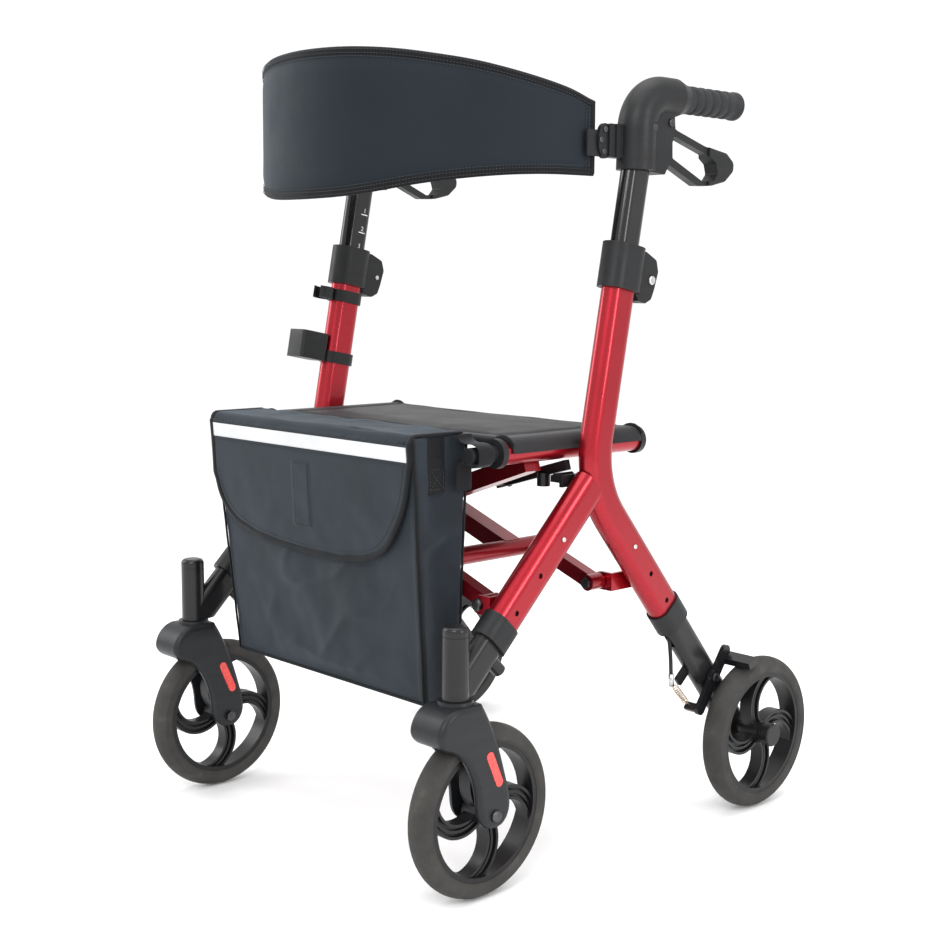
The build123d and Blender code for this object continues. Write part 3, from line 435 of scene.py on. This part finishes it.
def seat_top(x, y):
    """Height of the seat's upper face, in millimetres."""
    beyond = abs(x) - RAIL_X
    if beyond > 0:
        return RAIL_Z + math.sqrt(max(17.2 ** 2 - beyond ** 2, 0))
    inside_x = ease((SEAM_X + 12 - abs(x)) / 60)
    inside_y = ease((y - SEAM_FRONT + 8) / 40) * ease((SEAM_REAR + 8 - y) / 40)
    pad = 5.0 * inside_x * inside_y
    edge_x = math.exp(-((abs(x) - SEAM_X) / 3.0) ** 2) * (SEAM_FRONT - 6 < y < SEAM_REAR + 6)
    edge_y = (math.exp(-((y - SEAM_FRONT) / 3.0) ** 2) + math.exp(-((y - SEAM_REAR) / 3.0) ** 2)) * (abs(x) < SEAM_X)
    folds = 1.3 * ripple(x, y * 1.6, 0, 95) + 0.5 * ripple(x, y, 3, 32)
    sag = -3.0 * math.cos(math.pi * x / 450) * (0.6 + 0.4 * math.sin(math.pi * (y + 168) / 222))
    return 511.2 + pad - 1.7 * (edge_x + edge_y) + folds * ease((RAIL_X - abs(x)) / 40) + sag


def seat_under(x):
    beyond = abs(x) - RAIL_X
    arc = RAIL_Z + math.sqrt(max(14.7 ** 2 - beyond ** 2, 0)) if abs(beyond) < 14.7 else RAIL_Z
    return arc if beyond > 0 else max(498.5, arc)


def build_seat():
    columns = np.unique(np.r_[np.linspace(-239.2, -204, 30), np.linspace(-204, 204, 110), np.linspace(204, 239.2, 30)])
    rows = np.unique(np.r_[np.linspace(SEAT_FRONT, SEAT_FRONT + 5, 7), np.linspace(SEAT_FRONT + 5, SEAT_REAR - 5, 70),
                           np.linspace(SEAT_REAR - 5, SEAT_REAR, 7)])
    top = np.zeros((len(rows), len(columns), 3))
    under = np.zeros_like(top)
    uv = np.zeros((len(rows), len(columns), 2))
    for r, y in enumerate(rows):
        near = min(y - SEAT_FRONT, SEAT_REAR - y) / 5.0
        full = math.sqrt(1 - (1 - min(near, 1)) ** 2) * 0.85 + 0.15
        for c, x in enumerate(columns):
            high, low = seat_top(x, y), seat_under(x)
            middle = low + 0.5 * (high - low)
            top[r, c] = (x * MM, y * MM, (middle + (high - middle) * full) * MM)
            under[r, c] = (x * MM, y * MM, (middle + (low - middle) * full) * MM)
            uv[r, c] = (x * MM, y * MM)
    seat = closed_sheet("seat_cushion", top, under, uv)
    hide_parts("seat")
    pieces = [finish_piece(seat, "seat_and_bag", "seat_nylon")]

    def on_top(x, y, lift=0.0):
        return Vector((x * MM, y * MM, (seat_top(x, y) + lift) * MM))

    runs = []
    for inset in (0.0, 5.0):
        ring = [(-SEAM_X - inset, SEAM_FRONT - inset), (SEAM_X + inset, SEAM_FRONT - inset),
                (SEAM_X + inset, SEAM_REAR + inset), (-SEAM_X - inset, SEAM_REAR + inset)]
        for a, b in zip(ring, ring[1:] + ring[:1]):
            line = [on_top(a[0] + (b[0] - a[0]) * t, a[1] + (b[1] - a[1]) * t, 0.1) for t in np.linspace(0, 1, 60)]
            runs.append((line, lambda p: (0, 0, 1)))
    for x in (-203.0, 203.0):
        line = [on_top(x, SEAT_FRONT + 6 + 210 * t, 0.1) for t in np.linspace(0, 1, 60)]
        runs.append((line, lambda p: (0, 0, 1)))
    pieces.append(finish_piece(stitches("seat_stitching", runs), "seat_and_bag", "seat_nylon", THREAD))
    for label, y, way in (("front", SEAT_FRONT, -1), ("rear", SEAT_REAR, 1)):
        line = []
        for x in np.linspace(-236, 236, 90):
            middle = 0.5 * (seat_top(x, y) + seat_under(x))
            line.append(Vector((x * MM, (y + way * 0.4) * MM, middle * MM)))
        band = tube(f"seat_{label}_binding", line, 9.5 * MM, 4.0 * MM, [(0, way, 0.0)] * len(line), 12)
        pieces.append(finish_piece(band, "seat_and_bag", "seat_nylon", BINDING))
    for piece in pieces:
        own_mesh(piece)


# ---------------------------------------------------------------- bag

BAG_TOP, BAG_FOOT = 515.0, 206.0
BAG_BACK = -199.0
FLAP_BACK, FLAP_CORNER, FLAP_EDGE_R = -203.0, -273.0, 8.0
FLAP_SHIFT = -2.0
FLAP_TOP, FLAP_FOOT = 517.5, 363.0
FLAP_HALF, FLAP_BOUND = 192.0, 191.5  # half widths of the flap and of its binding's path
FLAP_OUTLINE = (
    (-193, 455), (-190, 436), (-182, 412), (-168, 394), (-147, 382), (-110, 372), (-60, 366), (0, 363), (60, 363),
    (100, 368), (128, 377), (148, 392), (163, 412), (175, 434), (184, 460), (190, 488), (193, 505),
)
TAB = (-8.0, 432.0, 14.0, 38.0)


def bag_front(z):
    return -281.0 + 29.5 * (517.0 - z) / 311.0


def bag_half_width(z):
    return 182.5 + 12.5 * (z - BAG_FOOT) / (BAG_TOP - BAG_FOOT)


def bag_ring(z):
    """Outline of the bag at a height: (x, y, outward x, outward y, panel, place across the panel)."""
    w, front, corner = bag_half_width(z), bag_front(z), 6.0
    ring = []

    def straight(a, b, out, panel, count):
        for t in np.arange(count) / count:
            ring.append((a[0] + (b[0] - a[0]) * t, a[1] + (b[1] - a[1]) * t, *out, panel, t))

    def turn(centre, start):
        for t in np.arange(6) / 6:
            angle = math.radians(start + 90 * t)
            c, s = math.cos(angle), math.sin(angle)
            ring.append((centre[0] + corner * c, centre[1] + corner * s, c, s, "edge", t))

    x, f, b = w - corner, front + corner, BAG_BACK - corner
    straight((-x, front), (x, front), (0, -1), "front", 90)
    turn((x, f), -90)
    straight((w, f), (w, b), (1, 0), "side", 30)
    turn((x, b), 0)
    straight((x, BAG_BACK), (-x, BAG_BACK), (0, 1), "back", 60)
    turn((-x, b), 90)
    straight((-w, b), (-w, f), (-1, 0), "side", 30)
    turn((-x, f), 180)
    return ring


def bag_skin(x, y, z, panel, t):
    """How far the bag's skin stands out from its outline, in millimetres."""
    middle = math.sin(math.pi * t) if panel != "edge" else 0.0
    up = (z - BAG_FOOT) / (BAG_TOP - BAG_FOOT)
    hem = ease((z - BAG_FOOT - 8) / 14)
    diagonal = ripple(x + 0.7 * z, y, 0.35 * z - 0.4 * x, 62, 1.7)
    ridge = (1 - abs(ripple(x - 0.5 * z, y, 0.8 * z + 0.3 * x, 88, 4.2)) * 2) ** 3
    small = ripple(x, y, z, 23, 8.1)
    if panel == "front":
        free = 1 - 0.75 * ease((z - 368) / 25)
        slack = 4.5 * math.sin(math.pi * min(up * 1.6, 1)) * middle
        creases = 3.8 * diagonal + 3.2 * ridge * middle + 1.0 * small
        return free * (slack + hem * creases * (0.35 + 0.65 * middle)) - 1.0
    if panel == "side":
        crease = -11.0 * middle ** 1.3 * (0.45 + 0.55 * math.sin(math.pi * up))
        kink = 8.0 * math.exp(-((z - 402 - 0.3 * (y + 240)) / 13) ** 2) * middle
        return crease + kink + hem * (3.6 * diagonal + 1.6 * small) * middle
    if panel == "back":
        return -2.0 * middle + 1.5 * hem * diagonal * middle
    return 0.5 * small


def build_bag():
    heights = np.unique(np.r_[np.linspace(BAG_FOOT, BAG_FOOT + 10, 6), np.linspace(BAG_FOOT + 10, BAG_TOP, 100)])
    rows, uv_rows = [], []
    for z in heights:
        ring = bag_ring(z)
        row, uv_row = [], []
        travelled = 0.0
        last = None
        for x, y, out_x, out_y, panel, t in ring:
            stand = bag_skin(x, y, z, panel, t)
            row.append(((x + out_x * stand) * MM, (y + out_y * stand) * MM, z * MM))
            if last:
                travelled += math.hypot(x - last[0], y - last[1])
            last = (x, y)
            uv_row.append((travelled * MM, z * MM))
        rows.append(row)
        uv_rows.append(uv_row)
    rows, uv_rows = np.array(rows), np.array(uv_rows)

    def cap(row, lift):
        """Rings that close the bag at its top or foot."""
        centre = row.mean(0)
        made, uvs = [], []
        for share in (0.94, 0.8, 0.6, 0.4, 0.2, 0.05):
            ring = centre + (row - centre) * share
            for p in ring:
                p[2] += (lift * (1 - share ** 2) + 1.2 * ripple(p[0] * 1000, p[1] * 1000, 0, 45)) * MM
            made.append(ring)
            uvs.append(ring[:, :2])
        return made, uvs

    top, top_uv = cap(rows[-1], -2.0)
    foot, foot_uv = cap(rows[0], -2.5)
    rows = np.array(foot[::-1] + list(rows) + top)
    uv_rows = np.array(foot_uv[::-1] + list(uv_rows) + top_uv)
    count, columns = rows.shape[:2]
    faces = grid_faces(count, columns, wrap=True)
    faces.append(tuple(range(columns)))
    faces.append(tuple((count - 1) * columns + k for k in reversed(range(columns))))
    body = new_object("bag_body", rows.reshape(-1, 3), faces, uv_rows.reshape(-1, 2))
    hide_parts("bag")
    pieces = [finish_piece(body, "seat_and_bag", "bag_nylon")]

    def skin_point(z, side, depth, lift=0.0):
        """Point on the bag's side, depth 0 at the front and 1 at the back."""
        w, front = bag_half_width(z), bag_front(z) + 6
        back = BAG_BACK - 6
        y = front + (back - front) * depth
        t = depth if side > 0 else 1 - depth
        out = w + bag_skin(side * w, y, z, "side", t) + lift
        return Vector((side * out * MM, y * MM, z * MM))

    for side, sign in SIDES:
        for label, deep in (("front", True), ("rear", False)):
            line = []
            for z in np.linspace(BAG_FOOT + 1, BAG_TOP - 4, 70):
                w = bag_half_width(z) - 1.0
                y = bag_front(z) + 0.2 if deep else BAG_BACK - 0.2
                wobble = 0.8 * ripple(0, sign * 40, z, 30)
                line.append(((sign * (w + wobble)) * MM, y * MM, z * MM))
            facing = [(sign, -1 if deep else 1, 0)] * len(line)
            seam = tube(f"{side}_bag_{label}_piping", line, 4.4 * MM, 3.0 * MM, facing, 8)
            pieces.append(finish_piece(seam, "seat_and_bag", "bag_nylon", BINDING))

    foot_line = []
    for x, y, out_x, out_y, panel, t in bag_ring(BAG_FOOT + 1):
        foot_line.append(((x + 0.3 * out_x) * MM, (y + 0.3 * out_y) * MM, (BAG_FOOT + 1) * MM))
    hem = tube("bag_foot_piping", foot_line, 3.4 * MM, 3.4 * MM, [(0, 0, 1)] * len(foot_line), 8, closed=True)
    pieces.append(finish_piece(hem, "seat_and_bag", "bag_nylon", BINDING))

    # Flap: from the back of the top, over the front edge and down the front.
    def flap_end(x):
        span = [p[0] for p in FLAP_OUTLINE]
        ends = [p[1] for p in FLAP_OUTLINE]
        return float(np.mean([np.interp(x + d, span, ends) for d in (-5, 0, 5)]))

    corner_length = FLAP_EDGE_R * math.pi / 2
    top_length = FLAP_BACK - FLAP_CORNER

    def flap_point(x, run, lift=0.0):
        """Point on the flap at a run from its back edge, and its outward direction."""
        edge = ease((FLAP_HALF - abs(x)) / 30)
        if run < top_length:
            y, z, out = FLAP_BACK - run, FLAP_TOP, (0.0, 1.0)
            stand = (2.2 * ripple(x, y, 0, 48, 3) + 1.0 * ripple(x, y, 9, 20)) * edge
            stand -= 2.5 * edge * math.sin(math.pi * run / top_length)
        elif run < top_length + corner_length:
            turn = (run - top_length) / FLAP_EDGE_R
            y = FLAP_CORNER - FLAP_EDGE_R * math.sin(turn)
            z = FLAP_TOP - FLAP_EDGE_R + FLAP_EDGE_R * math.cos(turn)
            out = (-math.sin(turn), math.cos(turn))
            stand = 1.4 * ripple(x, 0, run, 60, 3)
        else:
            z = FLAP_TOP - FLAP_EDGE_R - (run - top_length - corner_length)
            y, out = bag_front(z) - 2.6, (-1.0, 0.0)
            down = ease((500 - z) / 110)
            stand = down * (2.2 + 2.4 * ripple(x * 0.8 + 0.5 * z, 0, z, 70, 6) + 0.8 * ripple(x, 0, z, 26, 2))
            stand += 1.5 * down * math.cos(math.pi * x / 400)
            inside = ease((TAB[2] - abs(x - TAB[0])) / 2.5 + 1) * ease((TAB[3] - abs(z - TAB[1])) / 2.5 + 1)
            stand += 1.0 * inside
        total = stand + lift
        return Vector(((x + FLAP_SHIFT) * MM, (y + out[0] * total) * MM, (z + out[1] * total) * MM)), Vector((0, *out))

    def flap_run(z):
        """Run from the flap's back edge to a height on its front."""
        return top_length + corner_length + (FLAP_TOP - FLAP_EDGE_R - z)

    columns = FLAP_HALF * np.sin(np.linspace(-math.pi / 2, math.pi / 2, 150))
    share = np.r_[np.linspace(0, 0.3, 26), np.linspace(0.3, 0.42, 16)[1:], np.linspace(0.42, 1, 60)[1:]]
    outer = np.zeros((len(share), len(columns), 3))
    inner = np.zeros_like(outer)
    uv = np.zeros((len(share), len(columns), 2))
    for c, x in enumerate(columns):
        length = flap_run(flap_end(x))
        for r, s in enumerate(share):
            run = s * length
            outer[r, c], _ = flap_point(x, run, 1.0)
            inner[r, c], _ = flap_point(x, run, -0.9)
            uv[r, c] = (x * MM, run * MM)
    flap = closed_sheet("bag_flap", outer, inner, uv)
    pieces.append(finish_piece(flap, "seat_and_bag", "bag_nylon"))

    outline, facing = [], []
    for run in np.linspace(2, flap_run(flap_end(-FLAP_BOUND)), 60):
        p, out = flap_point(-FLAP_BOUND, run)
        outline.append(p)
        facing.append(out)
    for x in FLAP_BOUND * np.sin(np.linspace(-math.pi / 2, math.pi / 2, 160))[1:-1]:
        p, out = flap_point(x, flap_run(flap_end(x)))
        outline.append(p)
        facing.append(out)
    for run in np.linspace(flap_run(flap_end(FLAP_BOUND)), 2, 40):
        p, out = flap_point(FLAP_BOUND, run)
        outline.append(p)
        facing.append(out)
    binding = tube("bag_flap_binding", outline, 9.0 * MM, 4.2 * MM, facing, 12)
    pieces.append(finish_piece(binding, "seat_and_bag", "bag_nylon", BINDING))

    def patch(name, x_from, x_to, z_from, z_to, lift, material, slot):
        across, down = np.linspace(x_from, x_to, 120), np.linspace(z_from, z_to, 10)
        front = np.zeros((len(down), len(across), 3))
        rear = np.zeros_like(front)
        flat = np.zeros((len(down), len(across), 2))
        for r, z in enumerate(down):
            for c, x in enumerate(across):
                front[r, c], _ = flap_point(x, flap_run(z), 1.0 + lift)
                rear[r, c], _ = flap_point(x, flap_run(z), 0.6)
                flat[r, c] = (x * MM, z * MM)
        return finish_piece(closed_sheet(name, front, rear, flat), "seat_and_bag", slot, material)

    pieces.append(patch("bag_reflective_strip", -187.5, 187.5, 505, 488, 0.7, STRIP, "bag_nylon"))

    def front_line(points, lift=1.1):
        return [flap_point(x, flap_run(z), lift)[0] for x, z in points]

    def out_front(p):
        return (0, -1, 0.1)

    runs = []
    x0, z0, half_x, half_z = TAB
    box = [(x0 + a * half_x, z0 + b * half_z) for a, b in ((-1, -1), (1, -1), (1, 1), (-1, 1))]
    for a, b in zip(box, box[1:] + box[:1]):
        edge = [(a[0] + (b[0] - a[0]) * t, a[1] + (b[1] - a[1]) * t) for t in np.linspace(0, 1, 12)]
        runs.append((front_line(edge), out_front))
    for z in (484.0, 506.5):
        runs.append((front_line([(x, z) for x in np.linspace(-187, 187, 80)], 1.2), out_front))
    inset_line = []
    for x in 184.5 * np.sin(np.linspace(-math.pi / 2, math.pi / 2, 150)):
        inset_line.append((x, flap_end(x * 1.035) + 6.5))
    runs.append((front_line(inset_line), out_front))
    sewn = stitches("bag_stitching", runs, radius=0.4 * MM)
    pieces.append(finish_piece(sewn, "seat_and_bag", "bag_nylon", THREAD))

    # Webbing loops that hang the bag on its tubes.
    for side, sign in SIDES:
        w = 196.5
        profile = [
            (w + 2.0, 452), (w + 2.2, 478), (w + 4, 486), (212, 482), (RAIL_X, 480.2), (RAIL_X + 12, 484),
            (RAIL_X + 14, 494), (RAIL_X + 12, 504), (RAIL_X, 508), (212, 506.5), (w + 5, 510), (w + 2.2, 516),
        ]
        line = [Vector((sign * p.x, -208 * MM, p.y)) for p in rounded([(x * MM, z * MM, 0) for x, z in profile], 3)]
        normals = []
        for i, p in enumerate(line):
            along = (line[min(i + 1, len(line) - 1)] - line[max(i - 1, 0)]).normalized()
            normals.append(along.cross(Vector((0, 1, 0))))
        loop = tube(f"{side}_bag_webbing", line, 24 * MM, 2.0 * MM, normals, 14)
        pieces.append(finish_piece(loop, "seat_and_bag", "bag_nylon", WEBBING))
        strap = []
        for z in np.linspace(450, 517, 24):
            strap.append(skin_point(z, sign, 0.45, 1.6))
        patch_band = tube(f"{side}_bag_side_strap", strap, 27 * MM, 2.4 * MM, [(sign, 0, 0)] * len(strap), 14)
        pieces.append(finish_piece(patch_band, "seat_and_bag", "bag_nylon", WEBBING))
        cross = []
        for a, b in (((-10, 455), (10, 478)), ((10, 455), (-10, 478)), ((-10, 455), (10, 455)), ((-10, 478), (10, 478)),
                     ((-10, 455), (-10, 478)), ((10, 455), (10, 478))):
            path = []
            for t in np.linspace(0, 1, 8):
                z = a[1] + (b[1] - a[1]) * t
                p = skin_point(z, sign, 0.45, 2.9)
                p.y += (a[0] + (b[0] - a[0]) * t) * MM
                path.append(p)
            cross.append((path, lambda p, sign=sign: (sign, 0, 0)))
        sewn = stitches(f"{side}_bag_strap_stitching", cross, radius=0.4 * MM)
        pieces.append(finish_piece(sewn, "seat_and_bag", "bag_nylon", THREAD))
    for piece in pieces:
        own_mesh(piece)


# ---------------------------------------------------------------- backrest

BOW_CENTRE_Y, BOW_X, BOW_Y = -14.0, 239.5, 268.0
BOW_END = math.asin(30.0 / BOW_Y)
STRAP_TOP = ((-40, 888), (-70, 901), (-106, 910), (-148, 920), (-186, 929), (-219, 935), (-246, 941), (-284, 947))
STRAP_FOOT = ((-40, 810), (-106, 810), (-148, 808), (-186, 804), (-219, 799), (-246, 792), (-266, 785), (-284, 780))


def smooth_height(table, y):
    ys = np.array([p[0] for p in table][::-1], float)
    zs = np.array([p[1] for p in table][::-1], float)
    return float(np.mean([np.interp(np.clip(y + d, -284, -44), ys, zs) for d in (-14, -7, 0, 7, 14)]))


def bow_point(turn, share, lift):
    """Point of the backrest: turn round the bow, share of its height, distance outward."""
    c, s = math.cos(turn), math.sin(turn)
    x, y = BOW_X * c, BOW_CENTRE_Y - BOW_Y * s
    out = Vector((c / BOW_X, -s / BOW_Y, 0)).normalized()
    low, high = smooth_height(STRAP_FOOT, y), smooth_height(STRAP_TOP, y)
    z = low + (high - low) * share
    wave = 0.9 * ripple(x, y, z, 120, 5) + 0.35 * ripple(x, y, z, 40, 1)
    stand = lift + wave
    return Vector(((x + out.x * stand) * MM, (y + out.y * stand) * MM, z * MM)), out


def build_backrest():
    turns = np.linspace(BOW_END, math.pi - BOW_END, 200)
    shares = np.unique(np.r_[np.linspace(0, 0.08, 8), np.linspace(0.08, 0.92, 40), np.linspace(0.92, 1, 8)])
    outer = np.zeros((len(shares), len(turns), 3))
    inner = np.zeros_like(outer)
    uv = np.zeros((len(shares), len(turns), 2))
    for r, share in enumerate(shares):
        for c, turn in enumerate(turns):
            rim = min(share, 1 - share) * 2
            ends = min(c, len(turns) - 1 - c) / 6
            plump = 1.2 + 2.6 * ease(rim * 3.2) * ease(ends)
            outer[r, c], _ = bow_point(turn, share, plump)
            inner[r, c], _ = bow_point(turn, share, -plump)
            uv[r, c] = (turn * 0.25, outer[r, c][2])
    strap = closed_sheet("backrest_strap", outer, inner, uv)
    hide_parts("backrest")
    pieces = [finish_piece(strap, "left_post", "strap_fabric")]
    for label, share in (("top", 1.0), ("foot", 0.0)):
        line, facing = [], []
        for turn in turns:
            p, out = bow_point(turn, share, 0)
            line.append(p + Vector((0, 0, (-3.2 if share else 3.2) * MM)))
            facing.append(out)
        band = tube(f"backrest_{label}_binding", line, 10.5 * MM, 6.0 * MM, facing, 14)
        pieces.append(finish_piece(band, "left_post", "strap_fabric", BINDING))
    for label, end in (("left", turns[0]), ("right", turns[-1])):
        line, facing = [], []
        for share in np.linspace(0.02, 0.98, 24):
            p, out = bow_point(end + (0.008 if label == "left" else -0.008), share, 0)
            line.append(p)
            facing.append(out)
        band = tube(f"backrest_{label}_end_hem", line, 8.0 * MM, 6.2 * MM, facing, 14)
        pieces.append(finish_piece(band, "left_post", "strap_fabric", BINDING))

    def outward(p):
        turn = math.atan2(-(p.y / MM - BOW_CENTRE_Y) / BOW_Y, p.x / MM / BOW_X)
        return (math.cos(turn) / BOW_X, -math.sin(turn) / BOW_Y, 0)

    runs = []
    for away, lift in ((0.9, 3.2), (5.2, 3.2), (8.8, 2.9)):
        for top in (True, False):
            path = []
            for turn in turns[2:-2]:
                p, out = bow_point(turn, 1.0 if top else 0.0, lift)
                path.append(p + Vector((0, 0, (-away if top else away) * MM)))
            runs.append((path, outward))
    for end, way in ((turns[0], 1), (turns[-1], -1)):
        for away in (0.035, 0.05):
            path = [bow_point(end + way * away, share, 3.4)[0] for share in np.linspace(0.06, 0.94, 24)]
            runs.append((path, outward))
    sewn = stitches("backrest_stitching", runs, 2.4 * MM, 3.8 * MM, 0.42 * MM)
    pieces.append(finish_piece(sewn, "left_post", "strap_fabric", THREAD))
    for piece in pieces:
        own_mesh(piece)


# ---------------------------------------------------------------- cables, springs and markings

CABLE = (
    (50, 833), (26, 833), (10, 810), (-37, 560), (-44, 498), (-36, 446), (-8, 398), (66, 308), (92, 262),
    (101, 226), (104, 184),
)


def build_brakes():
    for side, sign in SIDES:
        frame_body, leg = f"{side}_frame", f"{side}_rear_insert"
        x = sign * 254 * MM
        route = rounded([(x, y * MM, z * MM) for y, z in CABLE], 3)
        cable = tube(f"{side}_cable", route, 5 * MM, 5 * MM, None, 12)
        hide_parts(f"{side}_brake_cable")
        finish_piece(cable, None, "cable_sheath", None, (frame_body, leg, (x, -0.008, 0.398), (x, 0.09, 0.27)))
        end_path = [(x, 0.1033, 0.194), (x, 0.104, 0.184), (x, 0.1055, 0.178)]
        ferrule = tube(f"{side}_cable_ferrule", end_path, 7 * MM, 7 * MM, None, 14)
        finish_piece(ferrule, leg, "bright_screws")
        start, end = Vector((sign * 252 * MM, 0.115, 0.174)), Vector((sign * 252 * MM, 0.138, 0.150))
        along = (end - start).normalized()
        first = along.cross(Vector((1, 0, 0))).normalized()
        second = along.cross(first)
        coils, steps, radius = 9, 14, 3.6 * MM
        helix = []
        for k in range(coils * steps + 1):
            turn = 2 * math.pi * k / steps
            around = (first * math.cos(turn) + second * math.sin(turn)) * radius
            helix.append(start.lerp(end, k / (coils * steps)) + around)
        coil = tube(f"{side}_return_spring", helix, 1.1 * MM, 1.1 * MM, None, 6)
        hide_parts(f"{side}_brake_spring")
        finish_piece(coil, None, "spring_steel", None, (leg, f"{side}_brake_arm", start, end))
        wire_x = sign * 253 * MM
        corners = [(x, 0.105, 0.180), (wire_x, 0.113, 0.168), (wire_x, 0.128, 0.156), (sign * 256 * MM, 0.142, 0.146)]
        wire_path = rounded(corners, 3)
        wire = tube(f"{side}_brake_wire", wire_path, 1.6 * MM, 1.6 * MM, None, 8)
        finish_piece(wire, None, "spring_steel", None, (leg, f"{side}_brake_arm", wire_path[0], wire_path[-1]))


def build_marks():
    """Height marks and their numerals on the posts' inner faces."""
    lean = math.radians(10.8)
    for side, sign in SIDES:
        face = sign * 242.6 * MM
        for numeral, y, z in (("1", 10, 777), ("2", 5, 752), ("3", -1, 728)):
            points = []
            for deep in (0, 0.15):
                for a, b in ((-5.5, -0.7), (5.5, -0.7), (5.5, 0.7), (-5.5, 0.7)):
                    along, up = y + a * math.cos(lean), z - a * math.sin(lean) + b
                    points.append((face - sign * deep * MM, along * MM, up * MM))
            faces = [(0, 1, 2, 3), (7, 6, 5, 4), (0, 1, 5, 4), (1, 2, 6, 5), (2, 3, 7, 6), (3, 0, 4, 7)]
            bar = new_object(f"{side}_height_mark_{numeral}", points, faces)
            bar.data.shade_flat()
            finish_piece(bar, f"{side}_post", "black_anodised", MARKING)
            curve = bpy.data.curves.new(f"{side}_numeral_{numeral}", "FONT")
            curve.body = numeral
            curve.size = 9 * MM
            curve.extrude = 0.1 * MM
            curve.align_x = "CENTER"
            text = bpy.data.objects.new(f"{side}_numeral_{numeral}", curve)
            bpy.context.scene.collection.objects.link(text)
            bpy.context.view_layer.update()
            mesh = bpy.data.meshes.new_from_object(text.evaluated_get(bpy.context.evaluated_depsgraph_get()))
            bpy.data.objects.remove(text)
            digit = bpy.data.objects.new(f"{side}_numeral_{numeral}", mesh)
            bpy.context.scene.collection.objects.link(digit)
            across = Vector((0, math.cos(lean), -math.sin(lean))) * -sign
            upward = Vector((0, math.sin(lean), math.cos(lean)))
            outward = Vector((-sign, 0, 0))
            turn = Matrix((across, upward, outward)).transposed().to_4x4()
            digit.matrix_world = Matrix.Translation((face, (y + 0.6) * MM, (z + 2.5) * MM)) @ turn
            finish_piece(digit, f"{side}_post", "black_anodised", MARKING)


build_seat()
build_bag()
build_backrest()
build_brakes()
build_marks()

# ---------------------------------------------------------------- floor, light and camera

floor_mesh = bpy.data.meshes.new("floor")
reach = 60.0
corners = [(-reach, -reach, 0), (reach, -reach, 0), (reach, reach, 0), (-reach, reach, 0)]
floor_mesh.from_pydata(corners, [], [(0, 1, 2, 3)])
floor = bpy.data.objects.new("floor", floor_mesh)
bpy.context.scene.collection.objects.link(floor)
floor.location.z = -0.0004
ground = Look("floor", Roughness=0.85, Specular_IOR_Level=0.2)
ground.shader.inputs["Base Color"].default_value = (0.96, 0.96, 0.96, 1)
floor.data.materials.append(ground.material)

world = bpy.data.worlds.new("studio")
world.use_nodes = True
world.node_tree.nodes["Background"].inputs["Color"].default_value = (1.0, 1.0, 1.0, 1)
world.node_tree.nodes["Background"].inputs["Strength"].default_value = 1.06
bpy.context.scene.world = world
bpy.context.scene.view_settings.view_transform = "Standard"


def softbox(name, place, target, size, power):
    data = bpy.data.lights.new(name, "AREA")
    data.shape = "RECTANGLE"
    data.size, data.size_y = size
    data.energy = power
    lamp = bpy.data.objects.new(name, data)
    lamp.location = place
    lamp.rotation_euler = (Vector(target) - Vector(place)).to_track_quat("-Z", "Y").to_euler()
    bpy.context.scene.collection.objects.link(lamp)


softbox("key", (1.6, -2.6, 2.6), (0, 0, 0.45), (1.4, 1.4), 48)
softbox("side", (3.0, 0.4, 1.6), (0, 0, 0.45), (0.7, 2.0), 32)
softbox("left", (-2.6, -1.6, 1.8), (0, 0, 0.5), (1.0, 1.8), 30)
softbox("top", (0, 0, 3.2), (0, 0, 0), (2.4, 2.4), 40)

azimuth, pitch, roll = math.radians(46.37), math.radians(7.59), math.radians(0.44)
forward = Vector((-math.sin(azimuth) * math.cos(pitch), math.cos(azimuth) * math.cos(pitch), -math.sin(pitch)))
right = forward.cross(Vector((0, 0, 1))).normalized()
upright = right.cross(forward)
camera_data = bpy.data.cameras.new("camera")
camera_data.lens = 56.52
camera_data.sensor_width = 36
camera = bpy.data.objects.new("camera", camera_data)
turned = Matrix((right, upright, -forward)).transposed().to_4x4() @ Matrix.Rotation(roll, 4, "Z")
camera.matrix_world = Matrix.Translation((1.41586, -1.35081, 0.69238)) @ turned
bpy.context.scene.collection.objects.link(camera)
bpy.context.scene.camera = camera
